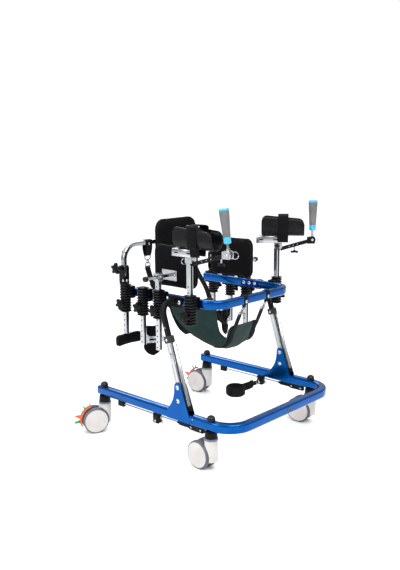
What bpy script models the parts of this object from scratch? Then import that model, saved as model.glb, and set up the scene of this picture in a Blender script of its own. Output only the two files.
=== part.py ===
# Pediatric walker (gait trainer), metres, +Z up, the walker's front faces -Y.
# The user's right side is -X and the left side is +X.
import math

import bpy
import bmesh
from mathutils import Matrix, Vector

for old in list(bpy.data.objects):
    bpy.data.objects.remove(old, do_unlink=True)

GAP = 0.0003
SMOOTH_ANGLE = math.radians(35.0)
RIGHT = -1
LEFT = 1
SIDE_NAMES = {RIGHT: "right", LEFT: "left"}

# Base frame: a U of rounded rectangular tube, closed in front
BASE_TUBE_WIDTH = 0.038
BASE_TUBE_HEIGHT = 0.044
BASE_TUBE_ROUND = 0.011
BASE_TOP = 0.222
BASE_HALF = 0.372
BASE_FRONT = -0.460
STEM_REACH = 0.344
BASE_END = 0.037
BASE_REAR = STEM_REACH + BASE_END
BASE_CORNER = 0.105

# Leg brackets welded to the side tubes
PLATE_THICK = 0.004
PLATE_PROUD = 0.0006
PLATE_HEIGHT = 0.132
PLATE_TOP = BASE_TOP + PLATE_HEIGHT
PLATE_HEAD_RADIUS = 0.021
PLATE_REAR_REACH = 0.092
PLATE_FRONT_REACH = 0.043

# Casters
HOUSING_RADIUS = 0.028
CAP_RADIUS = 0.0185
CAP_HEIGHT = 0.021
SHAFT_RADIUS = 0.008
CASTER_SIDES = 24
WHEEL_RADIUS = 0.0625
WHEEL_WIDTH = 0.0225
WHEEL_INNER = 0.0135
CASTER_TRAIL = 0.052
NECK_RADIUS = 0.0315
NECK_TOP = 0.1375
NECK_BOTTOM = 0.040
RING_HEIGHT = 0.009
WEB_HALF = 0.0130
AXLE_RADIUS = 0.004
PIN_RADIUS = 0.0065
PIN_DEPTH = 0.030
WHEEL_CLEARANCE = 0.0025
SWIVELS = {("front", RIGHT): -4.0, ("front", LEFT): -8.0, ("rear", RIGHT): 64.5, ("rear", LEFT): -6.0}
PEDAL_INNER = 0.066
PEDAL_OUTER = 0.0735
PEDAL_ARC_DEG = (-24.0, 76.0)
PEDAL_PIVOT_DEG = 30.0
PEDAL_PIN_RADIUS = 0.003
PEDAL_THICK = 0.006
PEDAL_RED_PRONGS = ((72.0, 0.094, 3.5, 1.2), (17.0, 0.105, 9.0, 1.5))
PEDAL_GREEN_PRONGS = ((51.0, 0.094, 3.5, 1.5), (-5.0, 0.100, 6.0, 3.5))
EAR_HALF = 0.004
EAR_RADIUS = 0.0075

# Ankle rails under the side tubes
RAIL_ROD_RADIUS = 0.004
RAIL_DROP = 0.013
RAIL_Z = BASE_TOP - BASE_TUBE_HEIGHT - RAIL_DROP
RAIL_BLOCK_WIDTH = 0.018
RAIL_BLOCK_DROP = 0.015
RAIL_BLOCK_BOTTOM = RAIL_Z - RAIL_BLOCK_DROP
RAIL_REAR_BLOCK = (0.200, 0.240)
RAIL_STEM_CLEARANCE = 0.011
RAIL_FRONT_END = -0.158
RAIL_FRONT_ARM = (-STEM_REACH + HOUSING_RADIUS + RAIL_STEM_CLEARANCE, RAIL_FRONT_END)
SLIDER_WIDTH = 0.030
SLIDER_LENGTH = 0.042
SLIDER_DROP = 0.035
SLIDER_BOTTOM = RAIL_Z - SLIDER_DROP
SLIDER_Y = {RIGHT: -0.020, LEFT: -0.036}
CUFF_X = 0.162
CUFF_RADIUS = 0.049
CUFF_THICK = 0.011
CUFF_HEIGHT = 0.050
CUFF_DROP = 0.015
CUFF_Z = RAIL_Z - CUFF_DROP
CUFF_STRAP_THICK = 0.007
CUFF_STRAP_HEIGHT = 0.042
CUFF_WEB_LENGTH = 0.0547

# Legs: a tilted extrusion with the upper frame's riser inside it and a round strut in front
LEG_TILT = math.radians(17.5)
LEG_FOOT_Y = -0.2005
LEG_WIDTH = 0.0294
LEG_DEPTH = 0.030
LEG_LENGTH = 0.341
LEG_WALL = 0.003
LEG_BORE_FLOOR = 0.070
COLLAR_SIZE = 0.037
COLLAR_HEIGHT = 0.031
STRUT_RADIUS = 0.0088
STRUT_FOOT_RADIUS = 0.0105
STRUT_FOOT_HEIGHT = 0.028
RISER_BOTTOM = 0.150
RISER_BEND_RADIUS = 0.058
RISER_STRAIGHT_END = 0.004
RISER_DROP = 0.0186
FLANGE_THICK = 0.0077
FLANGE_LAP = 0.002
FLANGE_Y = (-0.098, 0.000)
FLANGE_HEIGHT = 0.0492
FLANGE_DROP = 0.0008

# Upper frame
FRAME_TUBE_WIDTH = 0.028
FRAME_TUBE_HEIGHT = 0.040
FRAME_TUBE_ROUND = 0.009
FRAME_TOP = 0.706
FRAME_HALF = 0.267
FRAME_FRONT = -0.282
FRAME_REAR = 0.262
FRAME_CORNER = 0.075

# Clamps and posts, all at heights above or below the upper frame's top
POST_REACH = 0.0305
POST_X = FRAME_HALF + FRAME_TUBE_WIDTH / 2 + POST_REACH
POST_SIZE = 0.022
POST_WALL = 0.002
POST_HOLLOW = 0.120
CLAMP_SIZE = 0.044
CLAMP_GROOVE = 0.003
CLAMP_FINS = 10
CLAMP_DROP = 0.110
CLAMP_RISE = 0.021
CLAMP_BOTTOM = FRAME_TOP - CLAMP_DROP
CLAMP_TOP = FRAME_TOP + CLAMP_RISE
JAW_WIDTH = 0.038
JAW_LIP = 0.009
JAW_REACH = 0.018
KNOB_RADIUS = 0.028
KNOB_THICK = 0.016
KNOB_NECK = 0.008
CLAMP_KNOB_RISE = 0.040
CLAMP_KNOB_Z = CLAMP_BOTTOM + CLAMP_KNOB_RISE
BACK_POST_INSET = 0.019
POST_Y = {"back": FRAME_REAR - BACK_POST_INSET, "thigh": 0.125, "hip": 0.022, "arm": -0.171}

# Back support
BACK_POST_DROP = 0.106
BACK_POST_BOTTOM = CLAMP_BOTTOM - BACK_POST_DROP
SLEEVE_HEIGHT = 0.089
SLEEVE_BLOCK = 0.028
SLEEVE_CHEEK = 0.005
SLEEVE_DEPTH = 0.038
BACK_KNOB_NECK = 0.030
ARCH_SETBACK = 0.006
ARCH_Y = POST_Y["back"] + ARCH_SETBACK
ARCH_PIVOT_RISE = 0.078
ARCH_PIVOT_Z = CLAMP_TOP + ARCH_PIVOT_RISE
ARCH_LEG_BELOW_PIVOT = 0.040
ARCH_BOTTOM = ARCH_PIVOT_Z - ARCH_LEG_BELOW_PIVOT
ARCH_RISE = 0.103
ARCH_TOP = ARCH_PIVOT_Z + ARCH_RISE
ARCH_CORNER = 0.070
BACK_PAD_SIZE = (0.280, 0.180, 0.036)
BACK_PAD_RISE = 0.022
BACK_PAD_Z = ARCH_TOP + BACK_PAD_RISE
BACK_PAD_BEND = 0.012
BACK_PAD_ROUND = 0.055
REAR_PAD_SIZE = (0.150, 0.053, 0.028)
REAR_PAD_ROUND = 0.012
REAR_PAD_BEND = 0.008
REAR_PAD_INSET = 0.010

# Hip supports
HIP_POST_DROP = 0.147
HIP_POST_RISE = 0.040
HIP_POST_BOTTOM = CLAMP_BOTTOM - HIP_POST_DROP
HIP_POST_TOP = CLAMP_TOP + HIP_POST_RISE
HIP_HEAD = (0.032, 0.036, 0.036)
HIP_BAR_SIZE = (0.020, 0.012)
HIP_BAR_REACH = 0.0735
HIP_BAR_OUTER = POST_X + HIP_BAR_REACH
HIP_BAR_KNOB = (0.013, 0.016)
HIP_PLATE = (0.004, 0.094, 0.048)
HIP_PLATE_REACH = 0.0815
HIP_PLATE_X = POST_X - HIP_PLATE_REACH
HIP_PLATE_SHIFT = 0.012
HIP_PAD_SIZE = (0.266, 0.198, 0.040)
HIP_PAD_RISE = 0.053
HIP_PAD_Z = HIP_POST_TOP + HIP_PAD_RISE
HIP_PAD_BEND = 0.014
HIP_PAD_ROUND = 0.038

# Thigh supports
THIGH_POST_DROP = 0.139
THIGH_POST_RISE = 0.002
THIGH_POST_BOTTOM = CLAMP_BOTTOM - THIGH_POST_DROP
THIGH_POST_TOP = CLAMP_TOP + THIGH_POST_RISE
THIGH_BAR_LENGTH = 0.100
THIGH_BAR_HEIGHT = 0.032
THIGH_BAR_THICK = 0.005
THIGH_BAR_TURN = math.radians(32.0)
THIGH_PAD_SIZE = (0.086, 0.130, 0.028)
THIGH_PAD_ALONG = 0.047
THIGH_PAD_ROUND = 0.022
THIGH_PAD_BEND = 0.010
THIGH_PAD_POINT = 0.020
THIGH_BAR_RISE = 0.004

# Arm prompts
ARM_POST_INSET = 0.004
ARM_POST_RISE = 0.141
ARM_POST_BOTTOM = CLAMP_BOTTOM + ARM_POST_INSET
ARM_POST_TOP = CLAMP_TOP + ARM_POST_RISE
ARM_HEAD = (0.030, 0.034, 0.0247)
ARM_YAW = {RIGHT: math.radians(4.0), LEFT: math.radians(36.0)}
ARM_BAR_SIZE = (0.014, 0.018)
ARM_WEB = (0.0165, 0.025)
ARM_WEB_DROP = 0.012
ARM_BAR_DROP = 0.002
GRIP_REACH = {RIGHT: 0.206, LEFT: 0.170}
GRIP_CLAMP_HALF = 0.016
GRIP_PIVOT_RISE = {RIGHT: 0.054, LEFT: 0.044}
GRIP_CLAMP_BACK = 0.026
GRIP_CLAMP_DROP = 0.020
GRIP_SLOT_FLOOR = 0.006
BAR_END_SHORT = 0.022
BAR_END_DROP = 0.009
GRIP_TONGUE = 0.012
GRIP_BOTTOM = 0.046
GRIP_TOP = 0.189
GRIP_RADIUS = 0.0215
GRIP_TILT = {RIGHT: math.radians(8.0), LEFT: 0.0}
T_KNOB_REACH = {RIGHT: 0.168, LEFT: 0.085}
T_KNOB_STALK = 0.030
T_KNOB_DROP = 0.034
T_KNOB_SIZE = (0.036, 0.012, 0.012)
T_KNOB_STALK_RADIUS = 0.004
GRIP_COLLAR_RADIUS = 0.0165
GRIP_WAIST_RADIUS = 0.0160
GRIP_SWELL_RADIUS = 0.0185
TONGUE_WIDTH = 0.018
TROUGH_SHIFT = {RIGHT: 0.0, LEFT: -0.016}
RAIL_SPAN = (-0.084, 0.022)
RAIL_WIDTH = 0.040
RAIL_HEIGHT = 0.035
TROUGH_SPAN = (-0.060, 0.147)
TROUGH_HALF = 0.042
TROUGH_WALL = 0.009
TROUGH_HEIGHT = (0.098, 0.080)

# Sling seat: fabric hung by two straps from the front bar and two from the back support
SLING_THICK = 0.007
STRAP_WIDTH = 0.025
STRAP_THICK = 0.003
STRAP_X = 0.080
SLING_STRAP_X = 0.135
REAR_STRAP_X = 0.160
STRAP_LEAD = 0.012
FRONT_STRAP_BEND = (-0.258, 0.605)
REAR_STRAP_BEND = (0.205, 0.705)
REAR_STRAP_SPREAD = 0.005
# The sling's middle line from the front edge to the rear edge: y, z, half width, edge lift
SLING_SECTION = ((-0.222, 0.556, 0.098, 0.006), (-0.212, 0.515, 0.100, 0.008), (-0.197, 0.468, 0.096, 0.012),
                 (-0.162, 0.434, 0.082, 0.018), (-0.105, 0.418, 0.066, 0.022), (-0.045, 0.422, 0.066, 0.022),
                 (0.012, 0.446, 0.080, 0.022), (0.058, 0.490, 0.112, 0.020), (0.092, 0.545, 0.140, 0.016),
                 (0.118, 0.608, 0.158, 0.012))


def finish(name, colour, roughness, metallic):
    material = bpy.data.materials.new(name)
    material.use_nodes = True
    shader = material.node_tree.nodes["Principled BSDF"]
    shader.inputs["Base Color"].default_value = (*colour, 1.0)
    shader.inputs["Roughness"].default_value = roughness
    shader.inputs["Metallic"].default_value = metallic
    material.diffuse_color = (*colour, 1.0)
    return material


BLUE = finish("blue_anodised", (0.003, 0.095, 0.52), 0.28, 0.75)
SILVER = finish("satin_aluminium", (0.62, 0.63, 0.65), 0.32, 0.9)
STEEL = finish("spring_steel", (0.35, 0.35, 0.37), 0.25, 1.0)
BLACK = finish("black_plastic", (0.012, 0.012, 0.013), 0.5, 0.0)
MATTE_BLACK = finish("black_coated_tube", (0.018, 0.018, 0.019), 0.6, 0.0)
UPHOLSTERY = finish("black_upholstery", (0.013, 0.013, 0.014), 0.75, 0.0)
CASTER_GREY = finish("caster_shell", (0.63, 0.6, 0.57), 0.4, 0.0)
TYRE_GREY = finish("caster_tyre", (0.09, 0.095, 0.12), 0.6, 0.0)
PEDAL_RED = finish("pedal_plastic", (0.8, 0.12, 0.05), 0.45, 0.0)
GRIP_GREY = finish("grip_rubber", (0.16, 0.16, 0.16), 0.7, 0.0)
SLING_GREEN = finish("sling_fabric", (0.03, 0.08, 0.07), 0.9, 0.0)

walker = bpy.data.objects.new("walker_origin", None)
bpy.context.collection.objects.link(walker)


def solid(name, shape, material, origin=(0, 0, 0)):
    """Makes an object from a bmesh in the walker's coordinates, with its origin at the given point."""
    bmesh.ops.recalc_face_normals(shape, faces=shape.faces)
    if shape.calc_volume(signed=True) < 0:
        bmesh.ops.reverse_faces(shape, faces=shape.faces)
    mesh = bpy.data.meshes.new(name)
    shape.to_mesh(mesh)
    shape.free()
    mesh.transform(Matrix.Translation(-Vector(origin)))
    mesh.materials.append(material)
    mesh.shade_smooth()
    mesh.set_sharp_from_angle(angle=SMOOTH_ANGLE)
    piece = bpy.data.objects.new(name, mesh)
    piece.location = origin
    piece.parent = walker
    bpy.context.collection.objects.link(piece)
    return piece


def guide(name, shape):
    """Makes a hidden helper object for a Boolean."""
    piece = solid(name, shape, BLACK)
    piece.hide_render = True
    piece.hide_viewport = False
    piece.display_type = "WIRE"
    return piece


def combine(target, operation, shapes):
    for shape in shapes:
        step = f"{operation.lower()}_{len(target.modifiers)}"
        helper = guide(f"{target.name}_{step}", shape)
        modifier = target.modifiers.new(step, "BOOLEAN")
        modifier.operation = operation
        modifier.solver = "EXACT"
        modifier.object = helper


def join(target, *shapes):
    combine(target, "UNION", shapes)


def cut(target, *shapes):
    combine(target, "DIFFERENCE", shapes)


def box(low, high, frame=None):
    """A box between two corners, in the walker's axes or in a given frame."""
    shape = bmesh.new()
    bmesh.ops.create_cube(shape, size=1.0)
    size = [h - l for l, h in zip(low, high)]
    middle = [(l + h) / 2 for l, h in zip(low, high)]
    shape.transform(Matrix.Translation(middle) @ Matrix.Diagonal((*size, 1.0)))
    if frame:
        shape.transform(frame)
    return shape


def centred_box(middle, size, frame=None):
    low = [m - s / 2 for m, s in zip(middle, size)]
    high = [m + s / 2 for m, s in zip(middle, size)]
    return box(low, high, frame)


def softened(shape, width):
    """Bevels every edge of a plain shape."""
    bmesh.ops.bevel(shape, geom=shape.edges[:], offset=width, segments=1, affect="EDGES")
    return shape


def post_shape(x, y, bottom, top):
    """A square bar with chamfered long edges."""
    shape = centred_box((x, y, (bottom + top) / 2), (POST_SIZE, POST_SIZE, top - bottom))
    upright = [e for e in shape.edges if abs(e.verts[0].co.z - e.verts[1].co.z) > 0.5 * (top - bottom)]
    bmesh.ops.bevel(shape, geom=upright, offset=0.0022, segments=1, affect="EDGES")
    return shape


def rod(start, end, radius, sides=16):
    """A cylinder between two points."""
    start, end = Vector(start), Vector(end)
    along = end - start
    shape = bmesh.new()
    bmesh.ops.create_cone(shape, cap_ends=True, segments=sides, radius1=radius, radius2=radius,
                          depth=along.length)
    turn = Vector((0, 0, 1)).rotation_difference(along).to_matrix().to_4x4()
    shape.transform(Matrix.Translation((start + end) / 2) @ turn)
    return shape


def rings_to_shape(rings):
    """Bridges rings of points into one skin, capped at both ends."""
    shape = bmesh.new()
    loops = [[shape.verts.new(point) for point in ring] for ring in rings]
    for one, two in zip(loops, loops[1:]):
        count = len(one)
        for i in range(count):
            j = (i + 1) % count
            shape.faces.new((one[i], one[j], two[j], two[i]))
    shape.faces.new(reversed(loops[0]))
    shape.faces.new(loops[-1])
    return shape


def turned(profile, centre, axis, sides=CASTER_SIDES, start=0.0):
    """Turns a profile of (radius, height) about an axis."""
    axis = Vector(axis).normalized()
    across = axis.orthogonal().normalized()
    if abs(axis.z) < 0.9:
        across = axis.cross(Vector((0, 0, 1))).normalized()
    other = axis.cross(across)
    rings = []
    for radius, height in profile:
        ring = []
        for i in range(sides):
            angle = start + 2 * math.pi * i / sides
            spoke = across * math.cos(angle) + other * math.sin(angle)
            ring.append(Vector(centre) + axis * height + spoke * radius)
        rings.append(ring)
    return rings_to_shape(rings)


def rounded_outline(width, height, radius, steps=2):
    """Points round a rounded rectangle, counter-clockwise."""
    points = []
    corners = ((1, 1, 0), (-1, 1, 90), (-1, -1, 180), (1, -1, 270))
    for sign_a, sign_b, first in corners:
        centre_a = sign_a * (width / 2 - radius)
        centre_b = sign_b * (height / 2 - radius)
        for step in range(steps + 1):
            angle = math.radians(first + 90 * step / steps)
            points.append((centre_a + radius * math.cos(angle), centre_b + radius * math.sin(angle)))
    return points


def swept(path, outline, up):
    """Sweeps an outline of (side, up) points along a path."""
    up = Vector(up)
    path = [Vector(p) for p in path]
    rings = []
    for i, point in enumerate(path):
        ahead = path[min(i + 1, len(path) - 1)]
        behind = path[max(i - 1, 0)]
        side = (ahead - behind).cross(up).normalized()
        rings.append([point + side * a + up * b for a, b in outline])
    return rings_to_shape(rings)


def arc(centre, start, end, first, last, steps):
    """Points on a quarter or other arc, from two unit directions measured at the centre."""
    points = []
    for step in range(steps + 1):
        angle = math.radians(first + (last - first) * step / steps)
        points.append(Vector(centre) + Vector(start) * math.cos(angle) + Vector(end) * math.sin(angle))
    return points


def prism(outline, low, high, frame):
    """Extrudes an outline of (a, b) points from low to high along the frame's third axis."""
    rings = [[frame @ Vector((a, b, height)) for a, b in outline] for height in (low, high)]
    return rings_to_shape(rings)


def axes_frame(origin, first, second, third):
    frame = Matrix.Identity(4)
    for column, axis in enumerate((first, second, third)):
        for row in range(3):
            frame[row][column] = axis[row]
    return Matrix.Translation(origin) @ frame


def u_path(half, front, rear, corner, height, steps=7):
    """A U in plan, closed in front, from the right rear end round to the left rear end."""
    path = [Vector((-half, rear, height)), Vector((-half, (rear + front) / 2, height))]
    path += arc((-half + corner, front + corner, height), (-corner, 0, 0), (0, -corner, 0), 0, 90, steps)
    path += arc((half - corner, front + corner, height), (0, -corner, 0), (corner, 0, 0), 0, 90, steps)
    path += [Vector((half, (rear + front) / 2, height)), Vector((half, rear, height))]
    return path


def star_outline(radius, lobes=5, waist=0.72):
    points = []
    for i in range(lobes * 3):
        angle = 2 * math.pi * i / (lobes * 3)
        reach = radius if i % 3 in (0, 1) else radius * waist
        points.append((reach * math.cos(angle), reach * math.sin(angle)))
    return points


def star_knob(centre, axis, radius=KNOB_RADIUS, thick=KNOB_THICK):
    """A star knob whose inner face is at the centre point."""
    axis = Vector(axis).normalized()
    across = axis.cross(Vector((0, 0, 1))).normalized()
    frame = axes_frame(centre, across, axis.cross(across), axis)
    return prism(star_outline(radius), 0.0, thick, frame)


def cushion(size, round_radius, frame, bend=0.0, point=0.0):
    """A crowned pad: width along the frame's first axis, height along its second, face along its third.

    bend curves both ends towards the face, and point draws the lower edge down in the middle.
    """
    width, height, thick = size
    outline = rounded_outline(width, height, round_radius, steps=4)
    crown = ((0.50, 0.50), (0.84, 0.44), (0.97, 0.26), (1.0, 0.0))
    layers = crown + tuple((scale, -depth) for scale, depth in crown[2::-1])
    rings = []
    for scale, depth in layers:
        ring = []
        for a, b in outline:
            inset = (1 - scale) * min(width, height) / 2
            x = a * (1 - 2 * inset / width)
            y = b * (1 - 2 * inset / height)
            pulled = 1 - 0.02 * math.cos(math.pi * x / width) * (abs(y) > 0.45 * height)
            y *= pulled
            if y < 0:
                y -= point * max(0.0, 1 - abs(x) / (0.45 * width)) * (-2 * y / height)
            z = depth * thick
            if depth > -0.5:
                z += bend * (2 * x / width) ** 2
            ring.append(frame @ Vector((x, y, z)))
        rings.append(ring)
    return rings_to_shape(rings)


def rest_of_wheel():
    """The axle's height when a flat of the faceted tyre is on the floor."""
    return WHEEL_RADIUS * math.cos(math.pi / CASTER_SIDES)


def base_frame():
    middle = BASE_TOP - BASE_TUBE_HEIGHT / 2
    outline = rounded_outline(BASE_TUBE_WIDTH, BASE_TUBE_HEIGHT, BASE_TUBE_ROUND)
    path = u_path(BASE_HALF, BASE_FRONT, BASE_REAR, BASE_CORNER, middle)
    frame = solid("base_frame", swept(path, outline, (0, 0, 1)), BLUE)
    for side in (RIGHT, LEFT):
        join(frame, *bracket_plates(side))
    bore = SHAFT_RADIUS + GAP
    for _, x, y in caster_places():
        cut(frame, rod((x, y, BASE_TOP - BASE_TUBE_HEIGHT - 0.01), (x, y, BASE_TOP + 0.01), bore, 12))


def bracket_plates(side):
    """Two cheeks that hold a leg and its strut, with rounded heads."""
    foot = LEG_FOOT_Y
    low = BASE_TOP - BASE_TUBE_HEIGHT + 0.002
    head_z = PLATE_TOP - PLATE_HEAD_RADIUS
    head_y = foot + (head_z - BASE_TOP) * math.tan(LEG_TILT) - 0.002
    rear = foot + PLATE_REAR_REACH
    front = foot - PLATE_FRONT_REACH
    outline = [(front + 0.006, low), (rear + 0.008, low), (rear + 0.006, BASE_TOP)]
    outline += [(rear - 0.008, BASE_TOP + 0.020), (rear - 0.026, BASE_TOP + 0.046)]
    outline.append((head_y + PLATE_HEAD_RADIUS, head_z - 0.030))
    for step in range(6):
        angle = math.radians(-10 + 32 * step)
        y = head_y + PLATE_HEAD_RADIUS * math.cos(angle)
        outline.append((y, head_z + PLATE_HEAD_RADIUS * math.sin(angle)))
    outline.append((front + 0.011, BASE_TOP))
    outer = BASE_TUBE_WIDTH / 2 + PLATE_PROUD
    shapes = []
    for cheek in (-1, 1):
        near = cheek * (outer - PLATE_THICK)
        far = cheek * outer
        frame = axes_frame((side * BASE_HALF, 0, 0), (0, 1, 0), (0, 0, 1), (1, 0, 0))
        shapes.append(prism(outline, min(near, far), max(near, far), frame))
    return shapes


def caster_places():
    return [((end, side), side * BASE_HALF, -STEM_REACH if end == "front" else STEM_REACH)
            for end in ("front", "rear") for side in (RIGHT, LEFT)]


def caster_directions(place):
    """The axle's direction and the trailing direction of a caster."""
    angle = math.radians(SWIVELS[place] * (1 if place[1] == RIGHT else -1))
    trail = Vector((-math.sin(angle), math.cos(angle), 0))
    return Vector((-trail.y, trail.x, 0)), trail


def caster_stem(label, x, y):
    """The fixed housing under the tube with its pin, shaft and the domed cap on top of the tube."""
    low = NECK_TOP + RING_HEIGHT + GAP
    under = BASE_TOP - BASE_TUBE_HEIGHT - GAP
    over = BASE_TOP + GAP
    profile = [(PIN_RADIUS, NECK_TOP - PIN_DEPTH), (PIN_RADIUS, low), (HOUSING_RADIUS, low)]
    profile += [(HOUSING_RADIUS, under - 0.004), (HOUSING_RADIUS - 0.004, under), (SHAFT_RADIUS, under)]
    profile += [(SHAFT_RADIUS, over), (CAP_RADIUS, over), (CAP_RADIUS, BASE_TOP + 0.005)]
    profile += [(CAP_RADIUS * 0.8, BASE_TOP + CAP_HEIGHT * 0.75), (CAP_RADIUS * 0.35, BASE_TOP + CAP_HEIGHT)]
    solid(f"caster_stem_{label}", turned(profile, (x, y, 0), (0, 0, 1), 16), BLACK, (x, y, BASE_TOP))


def caster_body(label, x, y, axle, across, frame):
    """The swivelling neck with the web that carries the axle between the two wheels."""
    ring_top = NECK_TOP + RING_HEIGHT
    ring_radius = NECK_RADIUS + 0.0015
    profile = [(NECK_RADIUS * 0.80, NECK_BOTTOM), (NECK_RADIUS, NECK_BOTTOM + 0.012), (NECK_RADIUS, NECK_TOP)]
    profile += [(ring_radius, NECK_TOP + 0.0005), (ring_radius, ring_top), (NECK_RADIUS - 0.004, ring_top)]
    neck = turned(profile, (x, y, 0), (0, 0, 1), 20)
    body = solid(f"caster_body_{label}", neck, CASTER_GREY, (x, y, ring_top))
    web = [(-0.022, NECK_BOTTOM + 0.006), (CASTER_TRAIL - 0.010, axle.z - 0.020)]
    for angle in (-1.0, -0.3, 0.4, 1.1):
        web.append((CASTER_TRAIL + 0.024 * math.cos(angle), axle.z + 0.024 * math.sin(angle)))
    web += [(0.026, NECK_TOP - 0.016), (-0.022, NECK_TOP - 0.016)]
    join(body, prism(web, -WEB_HALF, WEB_HALF, frame))
    for sign in (-1, 1):
        start = axle + across * sign * WEB_HALF
        cut(body, rod(start, start + across * sign * 0.05, WHEEL_RADIUS + WHEEL_CLEARANCE, CASTER_SIDES))
    cut(body, rod(axle - across * 0.03, axle + across * 0.03, AXLE_RADIUS + GAP, 12))
    cut(body, rod((x, y, NECK_TOP - PIN_DEPTH - 0.002), (x, y, ring_top + 0.01), PIN_RADIUS + GAP, 12))
    return body


def caster(place, x, y):
    end, side = place
    label = f"{end}_{SIDE_NAMES[side]}"
    across, trail = caster_directions(place)
    axle = Vector((x, y, rest_of_wheel())) + trail * CASTER_TRAIL
    frame = axes_frame((x, y, 0), trail, (0, 0, 1), trail.cross(Vector((0, 0, 1))))
    caster_stem(label, x, y)
    body = caster_body(label, x, y, axle, across, frame)
    outer = WHEEL_INNER + WHEEL_WIDTH
    wheel = [(WHEEL_RADIUS - 0.005, outer), (WHEEL_RADIUS, outer - 0.005), (WHEEL_RADIUS, WHEEL_INNER)]
    wheel.append((AXLE_RADIUS, WHEEL_INNER))
    profile = [(r, -h) for r, h in wheel] + [(r, h) for r, h in reversed(wheel)]
    half_facet = math.pi / CASTER_SIDES
    solid(f"caster_wheels_{label}", turned(profile, axle, across, CASTER_SIDES, half_facet), TYRE_GREY, axle)
    if end == "rear":
        brake_pedal(body, label, frame, axle.z)


def pedal_outline(prongs, axle_z):
    """A crescent round the wheels' rims with prongs: angle, reach and half angles at root and tip."""
    first, last = PEDAL_ARC_DEG
    polar = [(first + (last - first) * step / 8, PEDAL_INNER) for step in range(9)]
    rim = [(last - (last - first) * step / 8, PEDAL_OUTER) for step in range(9)]
    for angle, reach, root, tip in prongs:
        rim = [point for point in rim if abs(point[0] - angle) > root + 1.0]
        rim += [(angle + root, PEDAL_OUTER), (angle + tip, reach)]
        rim += [(angle - tip, reach), (angle - root, PEDAL_OUTER)]
    polar += sorted(rim, key=lambda point: -point[0])
    points = []
    for degrees, radius in polar:
        angle = math.radians(degrees)
        points.append((CASTER_TRAIL + radius * math.cos(angle), axle_z + radius * math.sin(angle)))
    return points


def brake_pedal(body, label, frame, axle_z):
    """A rocking brake lever that hugs the wheels' rims, on an ear of the caster's body."""
    rise = math.radians(PEDAL_PIVOT_DEG)
    reach = (PEDAL_INNER + PEDAL_OUTER) / 2 - 0.001
    hub = (CASTER_TRAIL + reach * math.cos(rise), axle_z + reach * math.sin(rise))
    ear = [(hub[0] + EAR_RADIUS * math.cos(rise + a), hub[1] + EAR_RADIUS * math.sin(rise + a))
           for a in (-1.5, -0.75, 0.0, 0.75, 1.5)]
    ear += [(CASTER_TRAIL + 0.008, axle_z + 0.017), (CASTER_TRAIL + 0.017, axle_z + 0.002)]
    join(body, prism(ear, -EAR_HALF, EAR_HALF, frame))
    centre = frame @ Vector((hub[0], hub[1], 0))
    axis = (frame @ Vector((hub[0], hub[1], 1)) - centre).normalized()
    cut(body, rod(centre - axis * 0.02, centre + axis * 0.02, PEDAL_PIN_RADIUS + GAP, 10))
    near = EAR_HALF + GAP
    far = near + PEDAL_THICK
    red = prism(pedal_outline(PEDAL_RED_PRONGS, axle_z), -far, -near, frame)
    pedal = solid(f"brake_pedal_{label}", red, PEDAL_RED, centre)
    green = prism(pedal_outline(PEDAL_GREEN_PRONGS, axle_z), near, far, frame)
    pin_reach = axis * (far - 0.001)
    join(pedal, rod(centre - pin_reach, centre + pin_reach, PEDAL_PIN_RADIUS, 10), green)


def ankle_rail(side):
    x = side * BASE_HALF
    under = BASE_TOP - BASE_TUBE_HEIGHT - GAP
    half = RAIL_BLOCK_WIDTH / 2
    label = SIDE_NAMES[side]
    rear = box((x - half, RAIL_REAR_BLOCK[0], RAIL_BLOCK_BOTTOM), (x + half, RAIL_REAR_BLOCK[1], under))
    rail = solid(f"ankle_rail_{label}", rear, BLACK)
    front = box((x - half, RAIL_FRONT_ARM[0], RAIL_BLOCK_BOTTOM), (x + half, RAIL_FRONT_ARM[1], under))
    rod_ends = ((x, RAIL_REAR_BLOCK[0] + 0.01, RAIL_Z), (x, RAIL_FRONT_ARM[1] - 0.01, RAIL_Z))
    wire = rod(*rod_ends, RAIL_ROD_RADIUS, 10)
    join(rail, wire, front)
    y = SLIDER_Y[side]
    low = (x - SLIDER_WIDTH / 2, y - SLIDER_LENGTH / 2, SLIDER_BOTTOM)
    high = (x + SLIDER_WIDTH / 2, y + SLIDER_LENGTH / 2, under - 0.001)
    slider = solid(f"ankle_slider_{label}", softened(box(low, high), 0.003), BLACK, (x, y, RAIL_Z))
    bore = RAIL_ROD_RADIUS + GAP
    cut(slider, rod((x, y - SLIDER_LENGTH, RAIL_Z), (x, y + SLIDER_LENGTH, RAIL_Z), bore, 12))


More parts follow.
